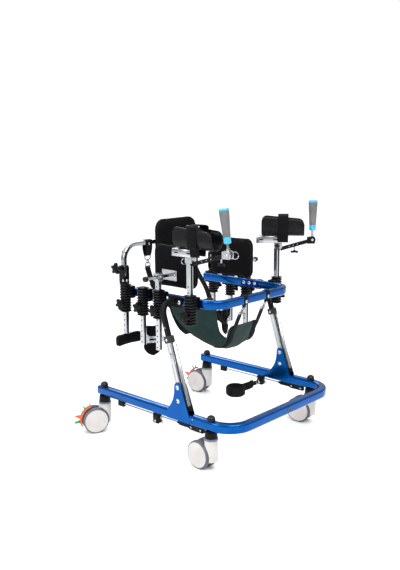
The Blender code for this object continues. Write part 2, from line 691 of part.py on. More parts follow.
def ankle_cuff():
    """A padded ankle cuff on a padded strap that the left slider holds out towards the foot's place."""
    y = SLIDER_Y[LEFT]
    inner = BASE_HALF - SLIDER_WIDTH / 2 - GAP
    half = CUFF_HEIGHT / 2
    ring = turned([(CUFF_RADIUS - 0.003, -half), (CUFF_RADIUS, -half / 2), (CUFF_RADIUS, half / 2),
                   (CUFF_RADIUS - 0.003, half)], (CUFF_X, y, CUFF_Z), (0, 0, 1), 16)
    cuff = solid("ankle_cuff_left", ring, UPHOLSTERY, (inner, y, CUFF_Z))
    padded_low = (CUFF_X + CUFF_RADIUS - 0.006, y - CUFF_STRAP_THICK, CUFF_Z - CUFF_STRAP_HEIGHT / 2)
    padded_end = inner - CUFF_WEB_LENGTH
    padded_high = (padded_end, y + CUFF_STRAP_THICK, CUFF_Z + CUFF_STRAP_HEIGHT / 2)
    web_low = (padded_end - 0.004, y - STRAP_THICK, CUFF_Z - STRAP_WIDTH / 2)
    web_high = (inner, y + STRAP_THICK, CUFF_Z + STRAP_WIDTH / 2)
    join(cuff, softened(box(padded_low, padded_high), 0.004), box(web_low, web_high))
    inside = CUFF_RADIUS - CUFF_THICK
    cut(cuff, rod((CUFF_X, y, CUFF_Z - CUFF_HEIGHT), (CUFF_X, y, CUFF_Z + CUFF_HEIGHT), inside, 16))


LEG_AXIS = Vector((0, math.sin(LEG_TILT), math.cos(LEG_TILT)))
LEG_FORWARD = Vector((0, -math.cos(LEG_TILT), math.sin(LEG_TILT)))


def leg_frame(side):
    """First axis +X, second forward of the leg, third up the leg; origin where the leg meets the tube."""
    return axes_frame((side * BASE_HALF, LEG_FOOT_Y, BASE_TOP), (1, 0, 0), LEG_FORWARD, LEG_AXIS)


def under_cutter(side):
    return centred_box((side * BASE_HALF, LEG_FOOT_Y, BASE_TOP + GAP - 0.05), (0.1, 0.2, 0.1))


def leg(side):
    label = SIDE_NAMES[side]
    frame = leg_frame(side)
    foot = frame @ Vector((0, 0, 0))
    bar = centred_box((0, 0, LEG_LENGTH / 2 - 0.01), (LEG_WIDTH, LEG_DEPTH, LEG_LENGTH + 0.02), frame)
    tube = solid(f"leg_tube_{label}", bar, SILVER, foot)
    collar_z = LEG_LENGTH - COLLAR_HEIGHT / 2
    join(tube, centred_box((0, 0, collar_z), (COLLAR_SIZE, COLLAR_SIZE, COLLAR_HEIGHT), frame))
    bore = (LEG_WIDTH - 2 * LEG_WALL, LEG_DEPTH - 2 * LEG_WALL)
    hollow = centred_box((0, 0, LEG_LENGTH / 2 + LEG_BORE_FLOOR), (*bore, LEG_LENGTH), frame)
    cut(tube, hollow, under_cutter(side))
    centre = frame @ Vector((0, LEG_DEPTH / 2 + STRUT_FOOT_RADIUS + GAP, 0))
    top = LEG_LENGTH - COLLAR_HEIGHT - GAP
    strut = solid(f"leg_strut_{label}", turned([
        (STRUT_FOOT_RADIUS, -0.03), (STRUT_FOOT_RADIUS, STRUT_FOOT_HEIGHT), (STRUT_RADIUS, STRUT_FOOT_HEIGHT),
        (STRUT_RADIUS, top - 0.002), (STRUT_RADIUS - 0.002, top)], centre, LEG_AXIS, 14), STEEL, centre)
    cut(strut, under_cutter(side))


def leg_riser(side):
    """The black tube in the leg that bends over to a flange on the upper frame."""
    label = SIDE_NAMES[side]
    frame = leg_frame(side)
    clear = 2 * (LEG_WALL + GAP)
    outline = rounded_outline(LEG_DEPTH - clear, LEG_WIDTH - clear, 0.004, 1)
    inward = Vector((-side, 0, 0))
    flange_outer = FRAME_HALF + FRAME_TUBE_WIDTH / 2 + GAP + FLANGE_THICK
    across = BASE_HALF - flange_outer + FLANGE_LAP
    bend = min(RISER_BEND_RADIUS, across - RISER_STRAIGHT_END)
    riser_top = (FRAME_TOP - RISER_DROP - BASE_TOP) / LEG_AXIS.z
    bend_start = frame @ Vector((0, 0, riser_top - bend))
    bend_centre = bend_start + inward * bend
    path = [frame @ Vector((0, 0, RISER_BOTTOM))]
    path += arc(bend_centre, -inward * bend, LEG_AXIS * bend, 0, 90, 7)
    end = Vector(path[-1])
    end.x = side * (flange_outer - FLANGE_LAP)
    path.append(end)
    outline = [(b, a) for a, b in outline]
    riser = solid(f"leg_riser_{label}", swept(path, outline, LEG_FORWARD), MATTE_BLACK, bend_start)
    inner = flange_outer - FLANGE_THICK
    xs = sorted((side * inner, side * flange_outer))
    flange_top = FRAME_TOP - FLANGE_DROP
    flange = box((xs[0], FLANGE_Y[0], flange_top - FLANGE_HEIGHT), (xs[1], FLANGE_Y[1], flange_top))
    join(riser, flange)


def upper_frame():
    outline = rounded_outline(FRAME_TUBE_WIDTH, FRAME_TUBE_HEIGHT, FRAME_TUBE_ROUND)
    path = u_path(FRAME_HALF, FRAME_FRONT, FRAME_REAR, FRAME_CORNER, FRAME_TOP - FRAME_TUBE_HEIGHT / 2)
    solid("upper_frame", swept(path, outline, (0, 0, 1)), BLUE)


def clamp(kind, side):
    """A ribbed sleeve round a post, with a jaw hooked on the upper frame and a star knob."""
    x = side * POST_X
    y = POST_Y[kind]
    rings = []
    fin = (CLAMP_TOP - CLAMP_BOTTOM) / CLAMP_FINS
    for number in range(2 * CLAMP_FINS + 1):
        size = CLAMP_SIZE if number % 2 == 0 else CLAMP_SIZE - 2 * CLAMP_GROOVE
        outline = rounded_outline(size, size, 0.006, 1)
        rings.append([(x + a, y + b, CLAMP_BOTTOM + number * fin / 2) for a, b in outline])
    piece = solid(f"clamp_{kind}_{SIDE_NAMES[side]}", rings_to_shape(rings), BLACK, (x, y, CLAMP_BOTTOM))
    tube_outer = FRAME_HALF + FRAME_TUBE_WIDTH / 2
    half = JAW_WIDTH / 2
    jaw_high = FRAME_TOP + JAW_LIP
    jaw_low = FRAME_TOP - FRAME_TUBE_HEIGHT - JAW_LIP
    xs = sorted((side * (tube_outer - JAW_REACH), side * (POST_X - CLAMP_SIZE / 2 + 0.004)))
    jaw = box((xs[0], y - half, jaw_low), (xs[1], y + half, jaw_high))
    reach = tube_outer + GAP
    tube = sorted((side * (reach - 0.05), side * reach))
    slot_low = FRAME_TOP - FRAME_TUBE_HEIGHT - GAP
    slot = box((tube[0], y - half - 0.01, slot_low), (tube[1], y + half + 0.01, FRAME_TOP + GAP))
    outward = Vector((side, 0, 0))
    face = Vector((side * (POST_X + CLAMP_SIZE / 2 - 0.004), y, CLAMP_KNOB_Z))
    knob_face = face + outward * (KNOB_NECK + 0.003)
    join(piece, jaw)
    cut(piece, slot)
    join(piece, rod(face, knob_face + outward * 0.002, 0.009, 10), star_knob(knob_face, outward))
    bore = POST_SIZE + 2 * GAP
    cut(piece, centred_box((x, y, (CLAMP_BOTTOM + CLAMP_TOP) / 2), (bore, bore, 0.2)))


def hollow_post(name, side, kind, bottom, top):
    x, y = side * POST_X, POST_Y[kind]
    post = solid(name, post_shape(x, y, bottom, top), SILVER, (x, y, CLAMP_TOP))
    inside = POST_SIZE / 2 - POST_WALL
    low = (x - inside, y - inside, bottom - 0.01)
    cut(post, box(low, (x + inside, y + inside, bottom + POST_HOLLOW)))
    return post


def back_support():
    sleeve_low = CLAMP_TOP + GAP
    block_top = sleeve_low + SLEEVE_BLOCK
    cheek_in = POST_SIZE / 2 + GAP
    cheek_out = cheek_in + SLEEVE_CHEEK
    for side in (RIGHT, LEFT):
        label = SIDE_NAMES[side]
        x = side * POST_X
        post = hollow_post(f"back_post_{label}", side, "back", BACK_POST_BOTTOM, block_top - 0.002)
        y_low, y_high = ARCH_Y - SLEEVE_DEPTH / 2, ARCH_Y + SLEEVE_DEPTH / 2
        top = sleeve_low + SLEEVE_HEIGHT
        shapes = [box((x - cheek_out, y_low, sleeve_low), (x + cheek_out, y_high, block_top))]
        for sign in (-1, 1):
            xs = sorted((x + sign * cheek_in, x + sign * cheek_out))
            shapes.append(box((xs[0], y_low, sleeve_low + 0.001), (xs[1], y_high, top)))
        outward = Vector((side, 0, 0))
        face = Vector((x, ARCH_Y, ARCH_PIVOT_Z)) + outward * (cheek_out - 0.002)
        knob_face = face + outward * BACK_KNOB_NECK
        shapes.append(rod(face, knob_face + outward * 0.002, 0.008, 10))
        shapes.append(star_knob(knob_face, outward))
        join(post, *shapes)
        rear_pad(side)
    corner = ARCH_CORNER
    path = [Vector((-POST_X, ARCH_Y, ARCH_BOTTOM))]
    path += arc((-POST_X + corner, ARCH_Y, ARCH_TOP - corner), (-corner, 0, 0), (0, 0, corner), 0, 90, 6)
    path += arc((POST_X - corner, ARCH_Y, ARCH_TOP - corner), (0, 0, corner), (corner, 0, 0), 0, 90, 6)
    path.append(Vector((POST_X, ARCH_Y, ARCH_BOTTOM)))
    outline = rounded_outline(POST_SIZE, POST_SIZE, 0.003, 1)
    arch = solid("back_arch", swept(path, outline, (0, 1, 0)), SILVER, (0, ARCH_Y, ARCH_PIVOT_Z))
    for side in (RIGHT, LEFT):
        x = side * REAR_STRAP_X
        hanging = [(x, ARCH_Y, ARCH_TOP), (x, ARCH_Y, ARCH_PIVOT_Z + GAP)]
        join(arch, strap_shape(hanging, STRAP_WIDTH, STRAP_THICK))
    thick = BACK_PAD_SIZE[2]
    pad_y = ARCH_Y - POST_SIZE / 2 - GAP - thick / 2
    frame = axes_frame((0, pad_y, BACK_PAD_Z), (1, 0, 0), (0, 0, 1), (0, -1, 0))
    solid("back_pad", cushion(BACK_PAD_SIZE, BACK_PAD_ROUND, frame, BACK_PAD_BEND), UPHOLSTERY,
          (0, pad_y, BACK_PAD_Z))


def rear_pad(side):
    """A low pad under the back support's post, reaching inwards."""
    width, height, thick = REAR_PAD_SIZE
    x = side * (POST_X - REAR_PAD_INSET)
    top = BACK_POST_BOTTOM - GAP
    frame = axes_frame((x, POST_Y["back"], top - height / 2), (1, 0, 0), (0, 0, 1), (0, -1, 0))
    shape = cushion(REAR_PAD_SIZE, REAR_PAD_ROUND, frame, REAR_PAD_BEND)
    pad = solid(f"rear_pad_{SIDE_NAMES[side]}", shape, UPHOLSTERY, (x, POST_Y["back"], top))
    seat_low = (side * POST_X - 0.02, POST_Y["back"] - 0.05, top - 0.0002)
    cut(pad, box(seat_low, (side * POST_X + 0.02, POST_Y["back"] + 0.05, top + 0.05)))


def hip_support(side):
    label = SIDE_NAMES[side]
    x, y = side * POST_X, POST_Y["hip"]
    post = hollow_post(f"hip_post_{label}", side, "hip", HIP_POST_BOTTOM, HIP_POST_TOP)
    head_z = HIP_POST_TOP + HIP_HEAD[2] / 2
    bar_width, bar_height = HIP_BAR_SIZE
    join(post, centred_box((x, y, head_z - 0.001), (*HIP_HEAD[:2], HIP_HEAD[2] + 0.002)))
    cut(post, centred_box((x, y, head_z), (0.08, bar_width + 2 * GAP, bar_height + 2 * GAP)))
    ends = sorted((side * (HIP_PLATE_X - 0.002), side * HIP_BAR_OUTER))
    bar_low = (ends[0], y - bar_width / 2, head_z - bar_height / 2)
    bar_high = (ends[1], y + bar_width / 2, head_z + bar_height / 2)
    bar = solid(f"hip_bar_{label}", box(bar_low, bar_high), SILVER, (x, y, head_z))
    thick, plate_length, plate_height = HIP_PLATE
    plate = centred_box((side * (HIP_PLATE_X - thick / 2), y + HIP_PLATE_SHIFT, head_z - 0.003),
                        (thick, plate_length, plate_height))
    outward = Vector((side, 0, 0))
    knob = Vector((side * (HIP_BAR_OUTER - 0.002), y, head_z))
    knob_radius, knob_length = HIP_BAR_KNOB
    join(bar, plate, rod(knob, knob + outward * knob_length, knob_radius, 12))
    pad_thick = HIP_PAD_SIZE[2]
    pad_x = side * (HIP_PLATE_X - thick - GAP - pad_thick / 2)
    frame = axes_frame((pad_x, y, HIP_PAD_Z), (0, 1, 0), (0, 0, 1), (-side, 0, 0))
    pad = cushion(HIP_PAD_SIZE, HIP_PAD_ROUND, frame, HIP_PAD_BEND)
    solid(f"hip_pad_{label}", pad, UPHOLSTERY, (pad_x, y, HIP_PAD_Z))


def thigh_support(side):
    label = SIDE_NAMES[side]
    x, y = side * POST_X, POST_Y["thigh"]
    post = hollow_post(f"thigh_post_{label}", side, "thigh", THIGH_POST_BOTTOM, THIGH_POST_TOP)
    along = Vector((-side * math.cos(THIGH_BAR_TURN), -math.sin(THIGH_BAR_TURN), 0))
    away = Vector((-side * math.sin(THIGH_BAR_TURN), math.cos(THIGH_BAR_TURN), 0))
    low = THIGH_POST_BOTTOM + THIGH_BAR_RISE
    frame = axes_frame((x, y, low), along, (0, 0, 1), away)
    half_thick = THIGH_BAR_THICK / 2
    join(post, box((-0.004, 0, -half_thick), (THIGH_BAR_LENGTH, THIGH_BAR_HEIGHT, half_thick), frame))
    thick = THIGH_PAD_SIZE[2]
    middle = frame @ Vector((THIGH_PAD_ALONG, THIGH_BAR_HEIGHT / 2, half_thick + GAP + thick / 2))
    pad_frame = axes_frame(middle, along, (0, 0, 1), away)
    pad = cushion(THIGH_PAD_SIZE, THIGH_PAD_ROUND, pad_frame, THIGH_PAD_BEND, THIGH_PAD_POINT)
    solid(f"thigh_pad_{label}", pad, UPHOLSTERY, middle)


def arm_frame(side):
    """First axis forward along the arm, second up, third across; origin under the post on the floor."""
    turn = ARM_YAW[side]
    forward = Vector((math.sin(turn), -math.cos(turn), 0))
    up = Vector((0, 0, 1))
    return axes_frame((side * POST_X, POST_Y["arm"], 0), forward, up, forward.cross(up))


def arm_prompt(side):
    label = SIDE_NAMES[side]
    x, y = side * POST_X, POST_Y["arm"]
    hollow_post(f"arm_post_{label}", side, "arm", ARM_POST_BOTTOM, ARM_POST_TOP)
    frame = arm_frame(side)
    head_low = ARM_POST_TOP + GAP
    head_top = head_low + ARM_HEAD[2]
    pivot = Vector((x, y, head_low))
    reach, pivot_z = GRIP_REACH[side], ARM_POST_TOP + GRIP_PIVOT_RISE[side]
    head = box((-ARM_HEAD[0] / 2, head_low, -ARM_HEAD[1] / 2), (ARM_WEB[1], head_top, ARM_HEAD[1] / 2), frame)
    bar = solid(f"arm_bar_{label}", head, MATTE_BLACK, pivot)
    width, height = ARM_BAR_SIZE
    web = box((ARM_WEB[0], ARM_POST_TOP - ARM_WEB_DROP, -width / 2 - 0.002),
              (ARM_WEB[1], head_low + 0.004, width / 2 + 0.002), frame)
    corners = ((-1, -1), (1, -1), (1, 1), (-1, 1))
    outline = [(a * width / 2, b * height / 2) for a, b in corners]
    bar_start = (ARM_WEB[1] - 0.003, ARM_POST_TOP - ARM_BAR_DROP)
    bar_end = (reach - BAR_END_SHORT, pivot_z - BAR_END_DROP)
    start, end = [frame @ Vector((along, z, 0)) for along, z in (bar_start, bar_end)]
    slope = (end - start).normalized()
    across = slope.cross(Vector((0, 0, 1))).normalized()
    strut = swept([start, end], outline, across.cross(slope))
    clamp_low = pivot_z - GRIP_CLAMP_DROP
    block_high = (reach + GRIP_CLAMP_HALF, pivot_z + GRIP_CLAMP_HALF, GRIP_CLAMP_HALF)
    block = box((reach - GRIP_CLAMP_BACK, clamp_low, -GRIP_CLAMP_HALF), block_high, frame)
    slot = box((reach - GRIP_CLAMP_HALF, clamp_low + GRIP_SLOT_FLOOR, -GRIP_TONGUE / 2 - GAP),
               (reach + 2 * GRIP_CLAMP_HALF, pivot_z + 2 * GRIP_CLAMP_HALF, GRIP_TONGUE / 2 + GAP), frame)
    knob_reach = T_KNOB_REACH[side]
    share = (knob_reach - bar_start[0]) / (bar_end[0] - bar_start[0])
    knob_z = bar_start[1] + share * (bar_end[1] - bar_start[1])
    stalk_ends = [frame @ Vector((knob_reach, z, 0)) for z in (knob_z, knob_z - T_KNOB_STALK)]
    stalk = rod(*stalk_ends, T_KNOB_STALK_RADIUS, 8)
    handle = centred_box((knob_reach, knob_z - T_KNOB_DROP, 0), T_KNOB_SIZE, frame)
    join(bar, web)
    join(bar, strut, block, stalk, handle)
    cut(bar, slot)
    trough(side, label, frame, head_top + GAP)
    hand_grip(side, label, frame)


def gutter_outline(height):
    """A round-bottomed gutter seen from its end, from one lip round the outside and back along the inside."""
    outer, inner = [], []
    for step in range(9):
        angle = math.radians(180 + 22.5 * step)
        for radius, points in ((TROUGH_HALF, outer), (TROUGH_HALF - TROUGH_WALL, inner)):
            points.append((radius * math.cos(angle), TROUGH_HALF + radius * math.sin(angle)))
    lip = TROUGH_HALF - TROUGH_WALL
    inside = [(lip, height)] + inner[::-1] + [(-lip, height)]
    return [(-TROUGH_HALF, height)] + outer + [(TROUGH_HALF, height)] + inside


def trough(side, label, frame, seat):
    """The aluminium rail on the arm's head and the padded forearm trough on it."""
    rail_top = seat + RAIL_HEIGHT
    shift = TROUGH_SHIFT[side]
    origin = frame @ Vector((0, seat, 0))
    rail = box((RAIL_SPAN[0] + shift, seat, -RAIL_WIDTH / 2),
               (RAIL_SPAN[1] + shift, rail_top + 0.002, RAIL_WIDTH / 2), frame)
    piece = solid(f"arm_trough_{label}", rail, UPHOLSTERY, origin)
    rings = []
    for along, height in zip(TROUGH_SPAN, TROUGH_HEIGHT):
        rings.append([frame @ Vector((along + shift, rail_top + b, a)) for a, b in gutter_outline(height)])
    join(piece, rings_to_shape(rings))


def hand_grip(side, label, frame):
    """A tapered grip on a stem whose tongue sits in the bar's fork."""
    pivot = frame @ Vector((GRIP_REACH[side], ARM_POST_TOP + GRIP_PIVOT_RISE[side], 0))
    tilt = GRIP_TILT[side]
    forward = (frame @ Vector((1, 0, 0)) - frame @ Vector((0, 0, 0))).normalized()
    up = Vector((0, 0, 1)) * math.cos(tilt) - forward * math.sin(tilt)
    ahead = up.cross(forward.cross(up)).normalized()
    lean = axes_frame(pivot, ahead, up, ahead.cross(up))
    profile = [(GRIP_WAIST_RADIUS - 0.002, GRIP_BOTTOM), (GRIP_COLLAR_RADIUS, GRIP_BOTTOM + 0.004)]
    profile += [(GRIP_WAIST_RADIUS, GRIP_BOTTOM + 0.020), (GRIP_SWELL_RADIUS, GRIP_BOTTOM + 0.060)]
    profile += [(GRIP_RADIUS, GRIP_TOP - 0.020), (GRIP_RADIUS, GRIP_TOP - 0.004)]
    profile.append((GRIP_RADIUS - 0.0035, GRIP_TOP))
    grip = solid(f"hand_grip_{label}", turned(profile, pivot, up, 14), GRIP_GREY, pivot)
    half = TONGUE_WIDTH / 2
    tongue = box((-half, -half, -GRIP_TONGUE / 2), (half, GRIP_BOTTOM + 0.004, GRIP_TONGUE / 2), lean)
    join(grip, tongue)


def sling_point(row, x):
    """A point on the sling's middle surface and the surface's inward direction there."""
    y, z, half, lift = SLING_SECTION[row]
    ahead = SLING_SECTION[min(row + 1, len(SLING_SECTION) - 1)]
    behind = SLING_SECTION[max(row - 1, 0)]
    normal = Vector((0, behind[1] - ahead[1], ahead[0] - behind[0])).normalized()
    return Vector((x, y, z)) + normal * lift * (x / half) ** 2, normal


def sling():
    rings = []
    steps = 8
    for row, (_, _, half, _) in enumerate(SLING_SECTION):
        inner, outer = [], []
        for step in range(steps + 1):
            middle, normal = sling_point(row, (2 * step / steps - 1) * half)
            reach = normal * SLING_THICK * (0.3 if step in (0, steps) else 0.5)
            inner.append(middle + reach)
            outer.append(middle - reach)
        rings.append(outer + inner[::-1])
    seat = solid("sling_seat", rings_to_shape(rings), SLING_GREEN, (0, 0, FRAME_TOP))
    bar_low = FRAME_TOP - FRAME_TUBE_HEIGHT - GAP
    last = len(SLING_SECTION) - 1
    for side in (RIGHT, LEFT):
        x = side * STRAP_X
        sewn = [sling_point(row, x)[0] - sling_point(row, x)[1] * SLING_THICK / 2 for row in (1, 2, 3)]
        lead = [(x, FRAME_FRONT, bar_low), (x, FRAME_FRONT, bar_low - STRAP_LEAD)]
        front = [*lead, (x, *FRONT_STRAP_BEND), *sewn]
        x = side * SLING_STRAP_X
        sewn = [sling_point(row, x)[0] - sling_point(row, x)[1] * SLING_THICK / 2 for row in (last - 1, last)]
        hook = ARCH_PIVOT_Z - GAP
        x = side * REAR_STRAP_X
        bend = (x + side * REAR_STRAP_SPREAD, *REAR_STRAP_BEND)
        rear = [*sewn, bend, (x, ARCH_Y, hook - STRAP_LEAD), (x, ARCH_Y, hook)]
        join(seat, strap_shape(front, STRAP_WIDTH, STRAP_THICK), strap_shape(rear, STRAP_WIDTH, STRAP_THICK))


def strap_shape(path, width, thick):
    """A flat strap along a path, its width along X."""
    rings = []
    path = [Vector(p) for p in path]
    for i, point in enumerate(path):
        ahead = path[min(i + 1, len(path) - 1)]
        behind = path[max(i - 1, 0)]
        normal = (ahead - behind).cross(Vector((1, 0, 0))).normalized() * (thick / 2)
        half = Vector((width / 2, 0, 0))
        rings.append([point + half * a + normal * b for a, b in ((-1, -1), (1, -1), (1, 1), (-1, 1))])
    return rings_to_shape(rings)


def centre_on_floor():
    """Moves the whole walker so that its origin is the middle of its box, on the floor."""
    bpy.context.view_layer.update()
    pieces = [o for o in bpy.data.objects if o.type == "MESH" and not o.hide_render]
    graph = bpy.context.evaluated_depsgraph_get()
    xs, ys = [], []
    for piece in pieces:
        evaluated = piece.evaluated_get(graph)
        for vertex in evaluated.data.vertices:
            point = evaluated.matrix_world @ vertex.co
            xs.append(point.x)
            ys.append(point.y)
    walker.location = (-(min(xs) + max(xs)) / 2, -(min(ys) + max(ys)) / 2, 0)


def build():
    base_frame()
    for place, x, y in caster_places():
        caster(place, x, y)
    upper_frame()
    for side in (RIGHT, LEFT):
        ankle_rail(side)
        leg(side)
        leg_riser(side)
        for kind in POST_Y:
            clamp(kind, side)
        hip_support(side)
        thigh_support(side)
        arm_prompt(side)
    ankle_cuff()
    back_support()
    sling()
    centre_on_floor()


build()
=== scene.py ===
# Looks of the pediatric walker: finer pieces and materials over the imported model, in metres, +Z up.
# Coordinates below are measured from the walker's centreline, as in its CAD source, and SHIFT moves them.
import math

import bmesh
import bpy
from mathutils import Matrix, Vector
from mathutils.bvhtree import BVHTree


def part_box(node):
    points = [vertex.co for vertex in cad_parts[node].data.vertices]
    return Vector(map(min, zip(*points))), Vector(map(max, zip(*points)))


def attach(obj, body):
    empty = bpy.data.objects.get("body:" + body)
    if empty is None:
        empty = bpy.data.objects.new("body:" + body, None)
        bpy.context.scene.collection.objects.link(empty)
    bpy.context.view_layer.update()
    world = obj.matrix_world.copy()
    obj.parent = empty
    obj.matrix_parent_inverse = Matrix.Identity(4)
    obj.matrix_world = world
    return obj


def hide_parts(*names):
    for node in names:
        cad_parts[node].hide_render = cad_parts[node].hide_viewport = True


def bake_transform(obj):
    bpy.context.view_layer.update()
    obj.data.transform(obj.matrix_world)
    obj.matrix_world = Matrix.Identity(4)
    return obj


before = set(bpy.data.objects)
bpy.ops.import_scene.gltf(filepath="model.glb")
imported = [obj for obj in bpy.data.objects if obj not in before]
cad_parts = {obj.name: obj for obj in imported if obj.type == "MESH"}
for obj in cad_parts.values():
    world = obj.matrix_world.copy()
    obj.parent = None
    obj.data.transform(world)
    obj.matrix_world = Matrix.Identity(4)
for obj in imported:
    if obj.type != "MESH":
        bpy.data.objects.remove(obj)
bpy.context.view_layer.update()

RIGHT, LEFT = -1, 1
NAMES = {RIGHT: "right", LEFT: "left"}
X_AXIS, Y_AXIS, Z_AXIS = Vector((1, 0, 0)), Vector((0, 1, 0)), Vector((0, 0, 1))


def middle_of(node):
    low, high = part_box(node)
    return (low + high) / 2


def centreline():
    """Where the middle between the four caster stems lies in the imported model."""
    stems = [middle_of(f"caster_stem_{end}_{side}") for end in ("front", "rear") for side in NAMES.values()]
    middle = sum(stems, Vector()) / 4
    return Vector((middle.x, middle.y, 0))


SHIFT = centreline()

# Base
BASE_SIZE = (0.038, 0.044)
BASE_ROUND = 0.011
BASE_TOP = 0.222
BASE_UNDER = BASE_TOP - BASE_SIZE[1]
BASE_HALF = 0.372
BASE_FRONT, BASE_REAR = -0.460, 0.381
BASE_CORNER = 0.105
BASE_END_ROUND = 0.009
# How much more than its rounding a tube's end is drawn in at the corners
END_DRAW = 1.4
STEM_REACH = 0.344
PLATE_TOP, PLATE_HEAD, PLATE_THICK = 0.354, 0.021, 0.004

# Casters
WHEEL_RADIUS = 0.0625
WHEEL_INNER, WHEEL_OUTER = 0.0135, 0.0375
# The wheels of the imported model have 24 sides and stand on one of them
AXLE_Z = WHEEL_RADIUS * math.cos(math.pi / 24)
TREAD_PITCH = 0.003
WEB_HALF = 0.0128
NECK_RADIUS, NECK_TOP, NECK_BOTTOM = 0.0290, 0.1375, 0.040
RING_HEIGHT = 0.009
TRAIL = 0.052
SWIVELS = {("front", RIGHT): -4.0, ("front", LEFT): -8.0, ("rear", RIGHT): 64.5, ("rear", LEFT): -6.0}

# Legs
LEG_TILT = math.radians(17.5)
LEG_FOOT_Y = -0.2005
LEG_SIZE = (0.0294, 0.030)
LEG_LENGTH = 0.341
LEG_WALL = 0.0030
LEG_SLOT_DEPTH = 0.0026
RISER_BOTTOM = 0.150
COLLAR_SIZE, COLLAR_HEIGHT = 0.037, 0.031
LEG_AXIS = Vector((0, math.sin(LEG_TILT), math.cos(LEG_TILT)))
LEG_FORWARD = Vector((0, -math.cos(LEG_TILT), math.sin(LEG_TILT)))

# Upper frame
FRAME_SIZE = (0.028, 0.040)
FRAME_TOP = 0.706
FRAME_HALF = 0.267
FRAME_FRONT, FRAME_REAR = -0.282, 0.262
FRAME_CORNER = 0.075

# Clamps and posts
POST_X = 0.3115
POST_SIZE = 0.022
POST_WALL = 0.002
POST_CORNER = 0.0022
POST_Y = {"back": 0.243, "thigh": 0.125, "hip": 0.022, "arm": -0.171}
CLAMP_SIZE = 0.044
CLAMP_FINS = 10
JAW_HALF = 0.0187
CLAMP_BOTTOM, CLAMP_TOP = 0.596, 0.727
KNOB_Z = 0.636
KNOB_RADIUS, KNOB_THICK = 0.028, 0.016
KNOB_LOBES, KNOB_DEPTH = 5, 0.20
HOLE_PITCH = 0.0254
HOLE_RADIUS = 0.0036
SLOT_HALF = 0.0050

# Back support
ARCH_Y = 0.249
PIVOT_Z = 0.805
ARCH_BOTTOM, ARCH_TOP = 0.765, 0.908
ARCH_CORNER = 0.070
ARCH_HOLE_LOW = 0.826
LOOP_X = 0.160

# Hip and thigh supports
HIP_HEAD_Z = 0.785
HIP_PAD_Z = 0.820
HIP_PLATE_X = 0.226
THIGH_TURN = math.radians(32.0)
THIGH_LOW = 0.461

# Arm supports
ARM_TOP = 0.868
BEAM_LOW = ARM_TOP - 0.002
ARM_YAW = {RIGHT: math.radians(4.0), LEFT: math.radians(36.0)}
GRIP_REACH = {RIGHT: 0.206, LEFT: 0.170}
GRIP_Z = {RIGHT: 0.922, LEFT: 0.912}
GRIP_TILT = {RIGHT: math.radians(8.0), LEFT: 0.0}
KNOB_REACH = {RIGHT: 0.168, LEFT: 0.085}
TROUGH_SHIFT = {RIGHT: 0.0, LEFT: -0.016}
TROUGH_SEAT = 0.8933
RAIL_HEIGHT = 0.035
GUTTER_REAR, GUTTER_FRONT = -0.0596, 0.1466
GUTTER_CORNER = 0.026

# Ankle rails
RAIL_Z = 0.165
SLIDER_Y = {RIGHT: -0.020, LEFT: -0.036}
CUFF_X, CUFF_Z, CUFF_HALF = 0.162, 0.150, 0.0242

# Sling: (y, z, half width, edge lift) from the front edge to the rear edge
SLING = ((-0.222, 0.556, 0.098, 0.006), (-0.212, 0.515, 0.100, 0.008), (-0.197, 0.468, 0.096, 0.012),
         (-0.162, 0.434, 0.082, 0.018), (-0.105, 0.418, 0.066, 0.022), (-0.045, 0.422, 0.066, 0.022),
         (0.012, 0.446, 0.080, 0.022), (0.058, 0.490, 0.112, 0.020), (0.092, 0.545, 0.140, 0.016),
         (0.118, 0.608, 0.158, 0.012))
SLING_LENGTH = 0.522
SLING_CORNER = 0.034
STRAP_OFFSET = 0.0052
FRONT_STRAP_X, REAR_STRAP_X = 0.080, 0.135

# Cushions
PAD_VOXEL = 0.005
PAD_PRESSURE = 4.0
PAD_SWELL = 0.005
PAD_FRAMES = 20
PAD_GAP = 0.0006
BACK_BEND = 0.15
EDGE_SWELL = 0.05
CHANNEL_DEPTH, CHANNEL_HALF = 0.004, 0.0035


# Materials
def surface(name, colour, roughness, metallic=0.0, **sockets):
    """A Principled material; returns the material, its node tree and its shader."""
    material = bpy.data.materials.new(name)
    material.use_nodes = True
    tree = material.node_tree
    shader = tree.nodes["Principled BSDF"]
    shader.inputs["Base Color"].default_value = (*colour, 1.0)
    shader.inputs["Roughness"].default_value = roughness
    shader.inputs["Metallic"].default_value = metallic
    for key, value in sockets.items():
        shader.inputs[key.replace("_", " ")].default_value = value
    return material, tree, shader


def node(tree, kind, **values):
    """Adds a node and sets its inputs or its properties."""
    made = tree.nodes.new(kind)
    for key, value in values.items():
        if key in made.inputs:
            made.inputs[key].default_value = value
        else:
            setattr(made, key, value)
    return made


def noise(tree, scale, detail=4.0, stretch=None):
    """A noise value in object space, stretched along an axis if asked."""
    place = tree.nodes.new("ShaderNodeTexCoord").outputs["Object"]
    if stretch:
        mapping = tree.nodes.new("ShaderNodeMapping")
        mapping.inputs["Scale"].default_value = stretch
        tree.links.new(place, mapping.inputs["Vector"])
        place = mapping.outputs["Vector"]
    texture = node(tree, "ShaderNodeTexNoise", Scale=scale, Detail=detail)
    tree.links.new(place, texture.inputs["Vector"])
    return texture.outputs["Fac"]


def spread(tree, value, low, high, first=0.3, last=0.7):
    """Maps a value between first and last to a range."""
    ranged = tree.nodes.new("ShaderNodeMapRange")
    limits = {"From Min": first, "From Max": last, "To Min": low, "To Max": high}
    for name, limit in limits.items():
        ranged.inputs[name].default_value = limit
    tree.links.new(value, ranged.inputs["Value"])
    return ranged.outputs["Result"]


